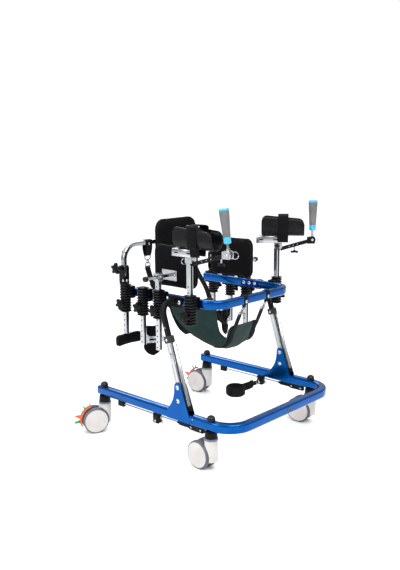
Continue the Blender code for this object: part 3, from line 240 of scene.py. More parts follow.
def split_coordinate(tree, kind):
    """The X, Y and Z outputs of a texture coordinate."""
    split = tree.nodes.new("ShaderNodeSeparateXYZ")
    tree.links.new(tree.nodes.new("ShaderNodeTexCoord").outputs[kind], split.inputs["Vector"])
    return split.outputs


def tinted(tree, shader, value, one, two):
    """Blends two base colours by a value."""
    mix = tree.nodes.new("ShaderNodeMix")
    mix.data_type = "RGBA"
    tree.links.new(value, mix.inputs["Factor"])
    mix.inputs["A"].default_value = (*one, 1.0)
    mix.inputs["B"].default_value = (*two, 1.0)
    tree.links.new(mix.outputs["Result"], shader.inputs["Base Color"])


def bumped(tree, shader, value, distance, strength=1.0):
    bump = node(tree, "ShaderNodeBump", Distance=distance, Strength=strength)
    tree.links.new(value, bump.inputs["Height"])
    tree.links.new(bump.outputs["Normal"], shader.inputs["Normal"])


def math_node(tree, operation, one, two=None):
    made = tree.nodes.new("ShaderNodeMath")
    made.operation = operation
    for socket, value in zip(made.inputs, (one, two)):
        if isinstance(value, (int, float)):
            socket.default_value = value
        elif value is not None:
            tree.links.new(value, socket)
    return made.outputs["Value"]


def weave(tree, pitch):
    """A plain weave's height, with the given thread spacing in metres."""
    split = split_coordinate(tree, "UV")
    waves = []
    for axis in ("X", "Y"):
        turn = math_node(tree, "MULTIPLY", split[axis], 2 * math.pi / pitch)
        waves.append(math_node(tree, "SINE", turn))
    crossed = math_node(tree, "MULTIPLY", *waves)
    return math_node(tree, "MULTIPLY_ADD", crossed, 0.5)


def anodised_blue():
    material, tree, shader = surface("anodised_blue", (0.0, 0.15, 0.60), 0.24, 1.0,
                                     Coat_Weight=0.14, Coat_Roughness=0.06)
    cloud = noise(tree, 9.0)
    tinted(tree, shader, spread(tree, cloud, 0.0, 1.0), (0.0, 0.066, 0.270), (0.0, 0.080, 0.315))
    tree.links.new(spread(tree, noise(tree, 60.0), 0.20, 0.27), shader.inputs["Roughness"])
    bumped(tree, shader, noise(tree, 700.0), 0.00003)
    return material


def brushed_metal(name, colour, roughness, grain_scale=(1.0, 1.0, 0.04)):
    material, tree, shader = surface(name, colour, roughness, 1.0)
    grain = noise(tree, 900.0, 3.0, grain_scale)
    tinted(tree, shader, spread(tree, grain, 0.0, 1.0), [c * 0.93 for c in colour], colour)
    tree.links.new(spread(tree, grain, roughness - 0.05, roughness + 0.06), shader.inputs["Roughness"])
    bumped(tree, shader, grain, 0.00002)
    return material


def moulded(name, colour, roughness, grain=0.00006, scale=900.0, **sockets):
    material, tree, shader = surface(name, colour, roughness, 0.0, **sockets)
    fine = noise(tree, scale, 2.0)
    cloud = spread(tree, noise(tree, 14.0), 0.0, 1.0)
    tinted(tree, shader, cloud, [c * 0.88 for c in colour], [c * 1.1 for c in colour])
    tree.links.new(spread(tree, fine, roughness - 0.05, roughness + 0.05), shader.inputs["Roughness"])
    bumped(tree, shader, fine, grain)
    return material


def fabric(name, colour, pitch, roughness, sheen, depth):
    """Woven cloth with the given thread spacing and depth."""
    material, tree, shader = surface(name, colour, roughness, 0.0, Sheen_Weight=sheen, Sheen_Roughness=0.5,
                                     Specular_IOR_Level=0.08)
    threads = weave(tree, pitch)
    blotch = spread(tree, noise(tree, 22.0), 0.0, 0.7)
    # The base colour is darker where the threads dip: painted shade between the threads, mixed with random
    # blotches.
    shade = math_node(tree, "MULTIPLY", math_node(tree, "MULTIPLY_ADD", threads, 0.5), 0.6)
    mixed = math_node(tree, "ADD", shade, math_node(tree, "MULTIPLY", blotch, 0.5))
    tinted(tree, shader, mixed, [c * 0.6 for c in colour], [c * 1.35 for c in colour])
    bumped(tree, shader, threads, depth)
    return material


def leatherette():
    material, tree, shader = surface("black_leatherette", (0.004, 0.004, 0.005), 0.32,
                                     Specular_IOR_Level=0.13)
    cells = node(tree, "ShaderNodeTexVoronoi", Scale=420.0, feature="DISTANCE_TO_EDGE")
    tree.links.new(tree.nodes.new("ShaderNodeTexCoord").outputs["Object"], cells.inputs["Vector"])
    cloud = spread(tree, noise(tree, 30.0), 0.0, 1.0)
    tinted(tree, shader, cloud, (0.0035, 0.0035, 0.0042), (0.0070, 0.0070, 0.0078))
    tree.links.new(spread(tree, noise(tree, 45.0), 0.28, 0.40), shader.inputs["Roughness"])
    bumped(tree, shader, cells.outputs["Distance"], 0.0004, 0.6)
    return material


def tyre_rubber():
    """Slate rubber with a fine diagonal tread."""
    material, tree, shader = surface("slate_rubber", (0.095, 0.102, 0.13), 0.62)
    cloud = spread(tree, noise(tree, 40.0), 0.0, 1.0)
    tinted(tree, shader, cloud, (0.082, 0.088, 0.112), (0.108, 0.115, 0.145))
    split = split_coordinate(tree, "UV")
    slant = math_node(tree, "ADD", split["X"], split["Y"])
    lines = math_node(tree, "SINE", math_node(tree, "MULTIPLY", slant, 2 * math.pi / TREAD_PITCH))
    bumped(tree, shader, lines, 0.0002)
    return material


BLUE = anodised_blue()
NAVY = brushed_metal("dark_blue_plate", (0.0, 0.028, 0.20), 0.30)
DARK_BLUE = moulded("navy_coat", (0.004, 0.022, 0.11), 0.34)
SILVER = brushed_metal("satin_aluminium", (0.50, 0.51, 0.53), 0.24)
STEEL = brushed_metal("bright_steel", (0.50, 0.51, 0.53), 0.16, (0.05, 1.0, 1.0))
CHROME = brushed_metal("polished_steel", (0.60, 0.61, 0.63), 0.10, (1.0, 1.0, 1.0))
WIRE = brushed_metal("polished_wire", (0.20, 0.205, 0.215), 0.14, (1.0, 1.0, 1.0))
BLACK = moulded("black_nylon", (0.0030, 0.0030, 0.0037), 0.34, Specular_IOR_Level=0.13)
SATIN_BLACK = moulded("satin_black_nylon", (0.0030, 0.0030, 0.0037), 0.22, Specular_IOR_Level=0.22)
MATTE = moulded("matte_black_coat", (0.0045, 0.0045, 0.0052), 0.44, 0.00008, 600.0, Specular_IOR_Level=0.12)
COLLAR_GREY = moulded("dark_grey_nylon", (0.026, 0.026, 0.028), 0.5, Specular_IOR_Level=0.25)
GLOSS_BLACK = moulded("gloss_black", (0.003, 0.003, 0.0037), 0.16, 0.00001, 300.0,
                      Specular_IOR_Level=0.25, Coat_Weight=0.2)
# SHADE is painted shade: a near-black, dull material set inside tubes and in grooves, slots, holes and
# sockets, where shade falls.
SHADE = moulded("inside_shade", (0.003, 0.003, 0.0035), 0.8, Specular_IOR_Level=0.05)
SHELL = moulded("caster_grey", (0.53, 0.505, 0.48), 0.38, 0.00003)
RING = moulded("slate_ring", (0.12, 0.15, 0.20), 0.42)
TYRE = tyre_rubber()
RED = moulded("red_orange_nylon", (0.80, 0.105, 0.035), 0.36)
GREEN = moulded("green_nylon", (0.03, 0.36, 0.11), 0.36)
GRIP = moulded("grey_grip", (0.120, 0.122, 0.124), 0.62, 0.0002, 1400.0)
SKY = moulded("sky_blue_nylon", (0.045, 0.40, 0.68), 0.3)
PAD = moulded("black_pad_fabric", (0.0036, 0.0036, 0.0044), 0.70, 0.00025, 1100.0, Specular_IOR_Level=0.05)
PIPING = moulded("black_piping", (0.0045, 0.0045, 0.0052), 0.55, 0.0002, 1500.0, Specular_IOR_Level=0.20)
WEBBING = fabric("black_webbing", (0.0055, 0.0055, 0.0062), 0.0022, 0.70, 0.015, 0.0003)
VELOUR = fabric("black_loop_fabric", (0.0045, 0.0045, 0.0052), 0.0016, 0.9, 0.015, 0.0003)
CLOTH = fabric("green_sling_cloth", (0.015, 0.034, 0.032), 0.0020, 0.85, 0.10, 0.0003)
LEATHER = leatherette()


# Shapes
def box(low, high, place=None):
    """A box between two corners, in a frame if one is given."""
    shape = bmesh.new()
    bmesh.ops.create_cube(shape, size=1.0)
    size = [h - l for l, h in zip(low, high)]
    middle = [(l + h) / 2 for l, h in zip(low, high)]
    shape.transform(Matrix.Translation(middle) @ Matrix.Diagonal((*size, 1.0)))
    if place:
        shape.transform(place)
    return shape


def block(middle, size, place=None):
    """A box about its middle."""
    low = [m - s / 2 for m, s in zip(middle, size)]
    return box(low, [m + s / 2 for m, s in zip(middle, size)], place)


def axes_frame(origin, first, second, third):
    """The matrix of a frame with the given origin and axes."""
    made = Matrix.Identity(4)
    for column, axis in enumerate((first, second, third)):
        for row in range(3):
            made[row][column] = axis[row]
    return Matrix.Translation(origin) @ made


def spot(place, a, b, c):
    """A point given in a frame."""
    return place @ Vector((a, b, c))


def span(side, one, two):
    """Two distances from the centreline on one side, with the lower coordinate first."""
    return sorted((side * one, side * two))


def shifted(a, b, points):
    """An outline or a profile moved by a and b."""
    return [(a + one, b + two) for one, two in points]


def loft(rings, looped=False):
    """Skins rings of points, with a UV map in metres: across each ring and along the rings."""
    shape = bmesh.new()
    uv = shape.loops.layers.uv.new("UVMap")
    loops = [[shape.verts.new(point) for point in ring] for ring in rings]
    count = len(loops[0])
    widest = max(rings, key=lambda ring: (Vector(ring[0]) - Vector(ring[count // 2])).length)
    across = [0.0]
    for i in range(count):
        across.append(across[-1] + (Vector(widest[(i + 1) % count]) - Vector(widest[i])).length)
    along = [0.0]
    for one, two in zip(rings, rings[1:] + rings[:1]):
        along.append(along[-1] + max((Vector(b) - Vector(a)).length for a, b in zip(one, two)))
    pairs = list(zip(range(len(rings)), range(1, len(rings))))
    if looped:
        pairs.append((len(rings) - 1, 0))
    for row, following in pairs:
        for i in range(count):
            j = (i + 1) % count
            corners = (loops[row][i], loops[row][j], loops[following][j], loops[following][i])
            face = shape.faces.new(corners)
            marks = ((i, row), (i + 1, row), (i + 1, row + 1), (i, row + 1))
            for loop, (a, b) in zip(face.loops, marks):
                loop[uv].uv = (across[a], along[b])
    if not looped:
        shape.faces.new(reversed(loops[0]))
        shape.faces.new(loops[-1])
    return shape


def rounded_outline(width, height, radius, steps=5):
    """A rectangle's outline with round corners."""
    points = []
    for sign_a, sign_b, first in ((1, 1, 0), (-1, 1, 90), (-1, -1, 180), (1, -1, 270)):
        for step in range(steps + 1):
            angle = math.radians(first + 90 * step / steps)
            a = sign_a * (width / 2 - radius) + radius * math.cos(angle)
            points.append((a, sign_b * (height / 2 - radius) + radius * math.sin(angle)))
    return points


def circle(radius, sides):
    turns = [2 * math.pi * i / sides for i in range(sides)]
    return [(radius * math.cos(a), radius * math.sin(a)) for a in turns]


def turned(profile, centre, axis, sides=48):
    """Turns a profile of (radius, height) about an axis."""
    axis = Vector(axis).normalized()
    across = axis.orthogonal().normalized()
    other = axis.cross(across)
    rings = []
    for radius, height in profile:
        middle = Vector(centre) + axis * height
        rings.append([middle + across * a + other * b for a, b in circle(max(radius, 0.00005), sides)])
    return loft(rings)


def rod(start, end, radius, sides=24):
    start, end = Vector(start), Vector(end)
    along = end - start
    return turned([(radius, 0.0), (radius, along.length)], start, along, sides)


def prism(outline, low, high, place):
    """A flat outline in a frame, drawn out along the frame's third axis."""
    return loft([[place @ Vector((a, b, c)) for a, b in outline] for c in (low, high)])


def bored_prism(outline, bore, low, high, place):
    """A prism with a rectangular bore of the given half sizes."""
    inner = [(max(-bore[0], min(bore[0], a)), max(-bore[1], min(bore[1], b))) for a, b in outline]
    levels = ((outline, low), (outline, high), (inner, high), (inner, low))
    shape = loft([[place @ Vector((a, b, c)) for a, b in ring] for ring, c in levels], looped=True)
    bmesh.ops.remove_doubles(shape, verts=shape.verts, dist=0.00001)
    return shape


def swept(path, outline, up, round_ends=0.0):
    """Sweeps an outline of (side, up) points along a path, with its ends drawn in if asked."""
    up = Vector(up)
    path = [Vector(p) for p in path]
    rings = []
    for i, point in enumerate(path):
        ahead = path[min(i + 1, len(path) - 1)]
        behind = path[max(i - 1, 0)]
        side = (ahead - behind).cross(up).normalized()
        rings.append([point + side * a + up * b for a, b in outline])
    if round_ends:
        first = rounded_end(path[0], path[1], rings[0], round_ends)
        last = rounded_end(path[-1], path[-2], rings[-1], round_ends)
        rings = first + rings[1:-1] + last[::-1]
    return loft(rings)


def rounded_end(end, inner, whole, radius):
    """The rings that draw in a tube's end, from its flat face to its whole section."""
    steps = 4
    back = (inner - end).normalized()
    half = max((p - end).length for p in whole)
    rings = []
    for step in range(steps, 0, -1):
        angle = math.radians(90 * step / steps)
        scale = 1 - radius * (1 - math.cos(angle)) / half * END_DRAW
        rings.append([end + back * radius * (1 - math.sin(angle)) + (p - end) * scale for p in whole])
    return rings + [[p + back * radius for p in whole]]


def wire(path, radius, sides=10, looped=False):
    """A round wire along a path of points."""
    path = [Vector(p) for p in path]
    count = len(path)
    rings = []
    normal = None
    for i, point in enumerate(path):
        if looped:
            along = path[(i + 1) % count] - path[i - 1]
        else:
            along = path[min(i + 1, count - 1)] - path[max(i - 1, 0)]
        along.normalize()
        if normal is None:
            normal = along.orthogonal().normalized()
        normal = (normal - along * normal.dot(along)).normalized()
        side = along.cross(normal)
        rings.append([point + normal * a + side * b for a, b in circle(radius, sides)])
    return loft(rings, looped=looped)


def ring_wire(centre, normal, radius, thick, squash=1.0):
    """A ring of wire, squashed along its second axis if asked."""
    normal = Vector(normal).normalized()
    one = normal.cross(Z_AXIS).normalized()
    two = normal.cross(one)
    points = [Vector(centre) + one * a * squash + two * b for a, b in circle(radius, 28)]
    return wire(points, thick, 8, looped=True)


def spline(a, b, c, d, t):
    """A value or a point between b and c on the smooth curve through all four."""
    return 0.5 * (2 * b + (c - a) * t + (2 * a - 5 * b + 4 * c - d) * t * t
                  + (3 * b - a - 3 * c + d) * t ** 3)


def smooth_path(points, steps):
    """Points on a smooth curve through the given ones."""
    points = [Vector(p) for p in points]
    padded = [2 * points[0] - points[1]] + points + [2 * points[-1] - points[-2]]
    made = []
    for i in range(1, len(padded) - 2):
        made += [spline(*padded[i - 1:i + 3], step / steps) for step in range(steps)]
    made.append(points[-1])
    return made


def smooth_outline(points, steps=5):
    """The flat smooth curve through the given points, without its first point."""
    return [(p.x, p.y) for p in smooth_path([(a, b, 0) for a, b in points], steps)[1:]]


def flat_arc(centre, radius, first, last, steps, skip=0):
    """Points of a flat arc between two angles in degrees, without the first ones if asked."""
    turns = [math.radians(first + (last - first) * step / steps) for step in range(skip, steps + 1)]
    return [(centre[0] + radius * math.cos(a), centre[1] + radius * math.sin(a)) for a in turns]


def quarter_turn(centre, start, end, steps):
    """Points of a quarter of an ellipse about a centre, from one arm's tip to the other's."""
    points = []
    for step in range(steps + 1):
        angle = math.radians(90 * step / steps)
        points.append(Vector(centre) + Vector(start) * math.cos(angle) + Vector(end) * math.sin(angle))
    return points


def u_path(half, front, rear, corner, height):
    """The middle line of a U-shaped tube that is open at the rear."""
    steps = 22
    path = [Vector((-half, rear, height)), Vector((-half, (rear + front) / 2, height))]
    path += quarter_turn((-half + corner, front + corner, height), (-corner, 0, 0), (0, -corner, 0), steps)
    path += quarter_turn((half - corner, front + corner, height), (0, -corner, 0), (corner, 0, 0), steps)
    return path + [Vector((half, (rear + front) / 2, height)), Vector((half, rear, height))]


def strap_shape(path, width, thick, across=X_AXIS):
    """A flat strap along a path, its width along one direction, with slightly rounded edges."""
    path = [Vector(p) for p in path]
    outline = ((-1, -0.5), (-0.94, -1), (0.94, -1), (1, -0.5), (1, 0.5), (0.94, 1), (-0.94, 1), (-1, 0.5))
    rings = []
    for i, point in enumerate(path):
        along = path[min(i + 1, len(path) - 1)] - path[max(i - 1, 0)]
        normal = along.cross(across).normalized() * (thick / 2)
        half = Vector(across) * (width / 2)
        rings.append([point + half * a + normal * b for a, b in outline])
    return loft(rings)


def softened(shape, width, segments):
    """Rounds the sharp edges."""
    edges = [e for e in shape.edges if e.is_manifold and e.calc_face_angle(0.0) > math.radians(38)]
    bmesh.ops.bevel(shape, geom=edges, offset=width, segments=segments, affect="EDGES", clamp_overlap=True)
    return shape


class Piece:
    """A visible piece: shapes in their own materials that ride on one body and may stand for CAD nodes."""

    def __init__(self, name, body, *nodes):
        self.name = name
        self.body = body
        self.nodes = nodes
        self.whole = bmesh.new()
        self.materials = []

    def add(self, shape, material, soften=0.0, segments=2):
        bmesh.ops.recalc_face_normals(shape, faces=shape.faces)
        if soften:
            softened(shape, soften, segments)
        if material not in self.materials:
            self.materials.append(material)
        index = self.materials.index(material)
        for face in shape.faces:
            face.material_index = index
        step = bpy.data.meshes.new("step")
        shape.to_mesh(step)
        shape.free()
        self.whole.from_mesh(step)
        bpy.data.meshes.remove(step)
        return self

    def done(self, slot=None, angle=40.0, rides=True):
        mesh = bpy.data.meshes.new(self.name)
        self.whole.to_mesh(mesh)
        self.whole.free()
        mesh.transform(Matrix.Translation(SHIFT))
        for material in self.materials:
            mesh.materials.append(material)
        mesh.shade_smooth()
        mesh.set_sharp_from_angle(angle=math.radians(angle))
        made = bpy.data.objects.new(self.name, mesh)
        bpy.context.scene.collection.objects.link(made)
        if rides:
            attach(made, self.body)
        if self.nodes:
            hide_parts(*self.nodes)
        return made


def dome(centre, axis, radius, height):
    """A domed head: a short rim and a smooth crown."""
    profile = [(radius * 0.96, -0.0004), (radius, 0.0)]
    for step in range(1, 9):
        angle = math.radians(90 * step / 8)
        profile.append((radius * math.cos(angle), height * math.sin(angle)))
    return turned(profile, centre, axis, 32)


def add_bolt(piece, centre, axis, radius, height):
    """A domed socket screw: its head, its washer and a dark disc of painted shade for its socket."""
    axis = Vector(axis).normalized()
    centre = Vector(centre)
    washer = [(radius * 1.25, 0.0), (radius * 1.25, 0.0008), (radius, 0.0009)]
    piece.add(turned(washer, centre, axis, 24), CHROME)
    piece.add(dome(centre + axis * 0.0008, axis, radius, height), CHROME)
    top = centre + axis * (0.0008 + height * 0.99)
    # The socket is a near-black disc of painted shade.
    piece.add(turned([(radius * 0.36, -0.0006), (radius * 0.36, 0.0001)], top, axis, 6), SHADE)


def star_outline():
    """The star knob's outline, with KNOB_LOBES blunt lobes."""
    count = 60
    points = []
    for i in range(count):
        angle = 2 * math.pi * i / count
        wave = math.cos(KNOB_LOBES * angle)
        reach = KNOB_RADIUS * (1 - KNOB_DEPTH + KNOB_DEPTH * math.copysign(abs(wave) ** 0.8, wave))
        points.append((reach * math.cos(angle), reach * math.sin(angle)))
    return points


def add_star_knob(piece, face, axis, neck, turn):
    """A star knob on a neck, with a raised hub."""
    axis = Vector(axis).normalized()
    across = axis.cross(Z_AXIS).normalized()
    face = Vector(face)
    place = axes_frame(face + axis * neck, across, axis.cross(across), axis) @ Matrix.Rotation(turn, 4, "Z")
    piece.add(rod(face - axis * 0.004, face + axis * (neck + 0.002), KNOB_RADIUS * 0.33), BLACK)
    outline = star_outline()
    layers = ((0.86, 0.0), (0.97, 0.10), (1.0, 0.25), (1.0, 0.70), (0.97, 0.86), (0.88, 0.97), (0.6, 1.0))
    rings = [[spot(place, a * s, b * s, KNOB_THICK * h) for a, b in outline] for s, h in layers]
    piece.add(loft(rings), BLACK)
    hub = [(KNOB_RADIUS * r, KNOB_THICK * h) for r, h in ((0.46, 0.9), (0.43, 1.12), (0.34, 1.16))]
    piece.add(turned(hub, place.translation, axis, 32), BLACK)


def holed_post(piece, x, y, bottom, top, first, last=1.0):
    """A square tube with a row of holes down its side faces and a slot in its front and rear faces."""
    # The tube's inside is a near-black box of painted shade, seen through the holes and the slots.
    inner_half = POST_SIZE / 2 - POST_WALL
    low = (x - inner_half, y - inner_half, bottom + 0.001)
    piece.add(box(low, (x + inner_half, y + inner_half, top - 0.001)), SHADE)
    flat = POST_SIZE / 2 - POST_CORNER
    for out, across, slotted in ((X_AXIS, Y_AXIS, False), (Y_AXIS, X_AXIS, True)):
        for sign in (-1, 1):
            wall = bmesh.new()
            origin = Vector((x, y, 0)) + out * sign * POST_SIZE / 2
            if slotted:
                add_slotted_face(wall, origin, across, out * sign, flat, bottom, top)
            else:
                level, z = bottom, first
                while z + HOLE_PITCH / 2 < min(top, last):
                    add_quad(wall, origin, across, flat, level, z - HOLE_PITCH / 2)
                    add_holed_cell(wall, origin, across, out * sign, flat, z)
                    level = z + HOLE_PITCH / 2
                    z += HOLE_PITCH
                add_quad(wall, origin, across, flat, level, top)
            bmesh.ops.remove_doubles(wall, verts=wall.verts, dist=0.00001)
            piece.add(wall, SILVER)
    outline = rounded_outline(POST_SIZE, POST_SIZE, POST_CORNER, 3)
    count = len(outline) // 4
    for quarter in range(4):
        points = outline[quarter * count:(quarter + 1) * count]
        edge = bmesh.new()
        rows = [[edge.verts.new((x + a, y + b, z)) for a, b in points] for z in (bottom, top)]
        for i in range(count - 1):
            edge.faces.new((rows[0][i], rows[0][i + 1], rows[1][i + 1], rows[1][i]))
        piece.add(edge, SILVER)


def add_quad(wall, origin, across, half, low, high):
    if high - low > 0.0001:
        corners = ((-half, low), (half, low), (half, high), (-half, high))
        wall.faces.new([wall.verts.new(origin + across * a + Z_AXIS * b) for a, b in corners])


def add_slotted_face(wall, origin, across, out, half, low, high):
    """A face with a slot along it: a strip on each side of the slot and the slot's two walls."""
    for sign in (-1, 1):
        lip = across * sign * SLOT_HALF
        profile = (across * sign * half, lip, lip - out * POST_WALL)
        for one, two in zip(profile, profile[1:]):
            corners = (one + Z_AXIS * low, two + Z_AXIS * low, two + Z_AXIS * high, one + Z_AXIS * high)
            wall.faces.new([wall.verts.new(origin + corner) for corner in corners])


def add_holed_cell(wall, origin, across, out, half, z):
    """A square cell of a wall with a round hole and the hole's short bore."""
    sides = 16
    tall = HOLE_PITCH / 2
    rim, edge, deep = [], [], []
    for i in range(sides):
        angle = 2 * math.pi * i / sides
        c, s = math.cos(angle), math.sin(angle)
        reach = min(half / max(abs(c), 1e-6), tall / max(abs(s), 1e-6))
        rim.append(wall.verts.new(origin + across * HOLE_RADIUS * c + Z_AXIS * (z + HOLE_RADIUS * s)))
        deep.append(wall.verts.new(rim[-1].co - out * POST_WALL))
        edge.append(wall.verts.new(origin + across * reach * c + Z_AXIS * (z + reach * s)))
    for i in range(sides):
        j = (i + 1) % sides
        wall.faces.new((edge[i], edge[j], rim[j], rim[i]))
        wall.faces.new((rim[i], rim[j], deep[j], deep[i]))
    for a, b in ((1, 1), (-1, 1), (-1, -1), (1, -1)):
        angle = math.atan2(b * tall, a * half) % (2 * math.pi)
        i = int(angle / (2 * math.pi / sides))
        corner = wall.verts.new(origin + across * a * half + Z_AXIS * (z + b * tall))
        wall.faces.new((edge[i], corner, edge[(i + 1) % sides]))


# Base frame
def base_frame():
    """The U-shaped base tube with the leg plates, their bolts, the seams and the front plug."""
    base = Piece("base_frame_tube", "base", "base_frame")
    outline = rounded_outline(*BASE_SIZE, BASE_ROUND, 6)
    path = u_path(BASE_HALF, BASE_FRONT, BASE_REAR, BASE_CORNER, BASE_TOP - BASE_SIZE[1] / 2)
    base.add(swept(path, outline, Z_AXIS, BASE_END_ROUND), BLUE)
    head_z = PLATE_TOP - PLATE_HEAD
    head_y = LEG_FOOT_Y + (head_z - BASE_TOP) * math.tan(LEG_TILT) - 0.002
    rear, front = LEG_FOOT_Y + 0.092, LEG_FOOT_Y - 0.043
    heel = (rear + 0.006, BASE_TOP)
    outline = [(front + 0.006, BASE_UNDER + 0.003), (rear + 0.008, BASE_UNDER + 0.003), heel]
    outline += smooth_outline([heel, (rear - 0.010, BASE_TOP + 0.018), (rear - 0.027, BASE_TOP + 0.046),
                               (head_y + 0.0225, head_z - 0.030), (head_y + PLATE_HEAD, head_z)])
    outline += flat_arc((head_y, head_z), PLATE_HEAD, 0, 150, 12, skip=1)
    outline.append((front + 0.011, BASE_TOP))
    for side in (RIGHT, LEFT):
        place = axes_frame((side * BASE_HALF, 0, 0), Y_AXIS, Z_AXIS, X_AXIS)
        for cheek in (-1, 1):
            outer = cheek * (BASE_SIZE[0] / 2 + 0.0006)
            low, high = sorted((outer, outer - cheek * PLATE_THICK))
            base.add(prism(outline, low, high, place), BLUE, 0.0009)
            for y, z in ((head_y + 0.001, head_z - 0.002), (head_y - 0.002, head_z - 0.062)):
                add_bolt(base, (side * BASE_HALF + outer, y, z), X_AXIS * cheek, 0.0080, 0.0056)
        x = side * (BASE_HALF + BASE_SIZE[0] / 2 + 0.0005)
        seam = [(x, front - 0.004, BASE_UNDER + 0.010), (x, front - 0.005, BASE_TOP - 0.012)]
        base.add(wire(seam, 0.0008), BLUE)
        base.add(dome((x, front - 0.010, BASE_TOP - 0.014), X_AXIS * side, 0.0024, 0.0012), CHROME)
    plug = (0.005, BASE_FRONT - BASE_SIZE[0] / 2, BASE_TOP - BASE_SIZE[1] / 2 + 0.002)
    profile = [(0.0125, -0.0005), (0.0125, 0.0007), (0.0108, 0.0012), (0.0102, 0.0008), (0.0001, 0.0010)]
    base.add(turned(profile, plug, -Y_AXIS, 40), DARK_BLUE)
    base.done("blue_anodised")


def caster_directions(place):
    """A caster's axle direction and the direction in which it trails."""
    angle = math.radians(SWIVELS[place] * (1 if place[1] == RIGHT else -1))
    trail = Vector((-math.sin(angle), math.cos(angle), 0))
    return Vector((-trail.y, trail.x, 0)), trail


def caster(end, side):
    """A caster: its mount, its swivelling neck with a ring, and its twin wheels."""
    label = f"{end}_{NAMES[side]}"
    foot = Vector((side * BASE_HALF, STEM_REACH * (-1 if end == "front" else 1), 0))
    across, trail = caster_directions((end, side))
    axle = foot + Z_AXIS * AXLE_Z + trail * TRAIL
    ring_top = NECK_TOP + RING_HEIGHT
    stem = Piece(f"caster_mount_{label}", "base", f"caster_stem_{label}")
    housing = [(0.020, ring_top + 0.0004), (0.0275, ring_top + 0.0006), (0.028, ring_top + 0.004)]
    housing += shifted(0.0, BASE_UNDER, ((0.0262, -0.006), (0.0245, -0.0005), (0.010, -0.0005)))
    stem.add(turned(housing, foot, Z_AXIS), BLACK)
    stem.add(rod(foot + Z_AXIS * (NECK_TOP - 0.025), foot + Z_AXIS * (BASE_TOP + 0.004), 0.0062), STEEL)
    rim = shifted(0.0, BASE_TOP, ((0.0165, 0.0003), (0.0188, 0.0012), (0.0192, 0.004), (0.0180, 0.006)))
    stem.add(turned(rim, foot, Z_AXIS), GLOSS_BLACK)
    stem.add(dome(foot + Z_AXIS * (BASE_TOP + 0.0055), Z_AXIS, 0.0188, 0.0180), GLOSS_BLACK)
    stem.done("black_plastic")

    body = Piece(f"caster_neck_{label}", f"caster_{label}", f"caster_body_{label}")
    body.add(neck_shape(foot, axle, across, trail), SHELL)
    ring = shifted(NECK_RADIUS, ring_top, ((-0.004, -0.0002), (0.001, -0.0006), (0.0018, -0.002)))
    ring += shifted(NECK_RADIUS, NECK_TOP, ((0.0018, 0.002), (0.001, 0.0006), (-0.004, 0.0002)))
    body.add(turned(ring, foot, Z_AXIS, 64), RING)
    body.done("caster_shell")

    wheels = Piece(f"caster_twin_wheels_{label}", f"wheels_{label}", f"caster_wheels_{label}")
    tread = [(0.0520, WHEEL_INNER)]
    tread += shifted(WHEEL_RADIUS, WHEEL_INNER, ((-0.0025, 0.0), (-0.0006, 0.0012), (-0.0003, 0.006)))
    tread += shifted(WHEEL_RADIUS, WHEEL_OUTER, ((-0.0003, -0.009), (-0.0014, -0.0045), (-0.0042, -0.0016),
                                                 (-0.0068, -0.0010)))
    tread.append((0.0555, WHEEL_OUTER - 0.0030))
    disc = shifted(0.0, WHEEL_OUTER, ((0.0557, -0.0040), (0.0557, -0.0014), (0.0549, -0.0005),
                                      (0.0530, -0.0002), (0.0500, -0.0008), (0.0300, -0.0004),
                                      (0.0001, -0.0001)))
    inner = shifted(0.0, WHEEL_INNER, ((0.0001, 0.0008), (0.0180, 0.0008), (0.0200, 0.004), (0.0480, 0.004),
                                       (0.0521, 0.0006)))
    for sign in (-1, 1):
        wheels.add(turned(tread, axle, across * sign, 96), TYRE)
        wheels.add(turned(disc, axle, across * sign, 96), SHELL)
        wheels.add(turned(inner, axle, across * sign, 64), RING)
    wheels.add(rod(axle - across * WHEEL_INNER, axle + across * WHEEL_INNER, 0.0038), STEEL)
    wheels.done("caster_tyre", 30)
    if end == "rear":
        brake_pedal(label, side, foot, trail)


def neck_shape(foot, axle, across, trail):
    """The swivelling neck and the web between the wheels, with round recesses for them."""
    profile = [(0.020, NECK_BOTTOM), (0.0262, NECK_BOTTOM + 0.002), (NECK_RADIUS, NECK_BOTTOM + 0.014),
               (NECK_RADIUS, NECK_TOP - 0.002), (NECK_RADIUS - 0.001, NECK_TOP)]
    target = plain_object("neck", turned(profile, foot, Z_AXIS, 64))
    place = axes_frame(foot, trail, Z_AXIS, trail.cross(Z_AXIS))
    web = [(-0.022, NECK_BOTTOM + 0.006), (TRAIL - 0.012, AXLE_Z - 0.021)]
    web += flat_arc((TRAIL, AXLE_Z), 0.0235, -60, 72, 12)
    web += smooth_outline([(TRAIL + 0.004, AXLE_Z + 0.024), (0.034, NECK_TOP - 0.030),
                           (0.024, NECK_TOP - 0.014)])
    web.append((-0.022, NECK_TOP - 0.016))
    helpers = [("UNION", prism(web, -WEB_HALF, WEB_HALF, place))]
    for sign in (-1, 1):
        start = axle + across * sign * WEB_HALF
        helpers.append(("DIFFERENCE", rod(start, start + across * sign * 0.05, WHEEL_RADIUS + 0.0027, 96)))
    helpers.append(("DIFFERENCE", rod(axle - across * 0.02, axle + across * 0.02, 0.0042)))
    return combined(target, helpers)


def plain_object(name, shape):
    """An object from a shape, with no body or material."""
    bmesh.ops.recalc_face_normals(shape, faces=shape.faces)
    mesh = bpy.data.meshes.new(name)
    shape.to_mesh(mesh)
    shape.free()
    made = bpy.data.objects.new(name, mesh)
    bpy.context.scene.collection.objects.link(made)
    return made


def combined(target, helpers):
    """Applies Boolean steps to an object and returns the result as a bmesh; the objects are removed."""
    spare = [target]
    for operation, shape in helpers:
        helper = plain_object("helper", shape)
        modifier = target.modifiers.new("step", "BOOLEAN")
        modifier.operation = operation
        modifier.solver = "EXACT"
        modifier.object = helper
        spare.append(helper)
    bpy.context.view_layer.update()
    graph = bpy.context.evaluated_depsgraph_get()
    result = bmesh.new()
    result.from_object(target, graph)
    for old in spare:
        mesh = old.data
        bpy.data.objects.remove(old)
        bpy.data.meshes.remove(mesh)
    return result


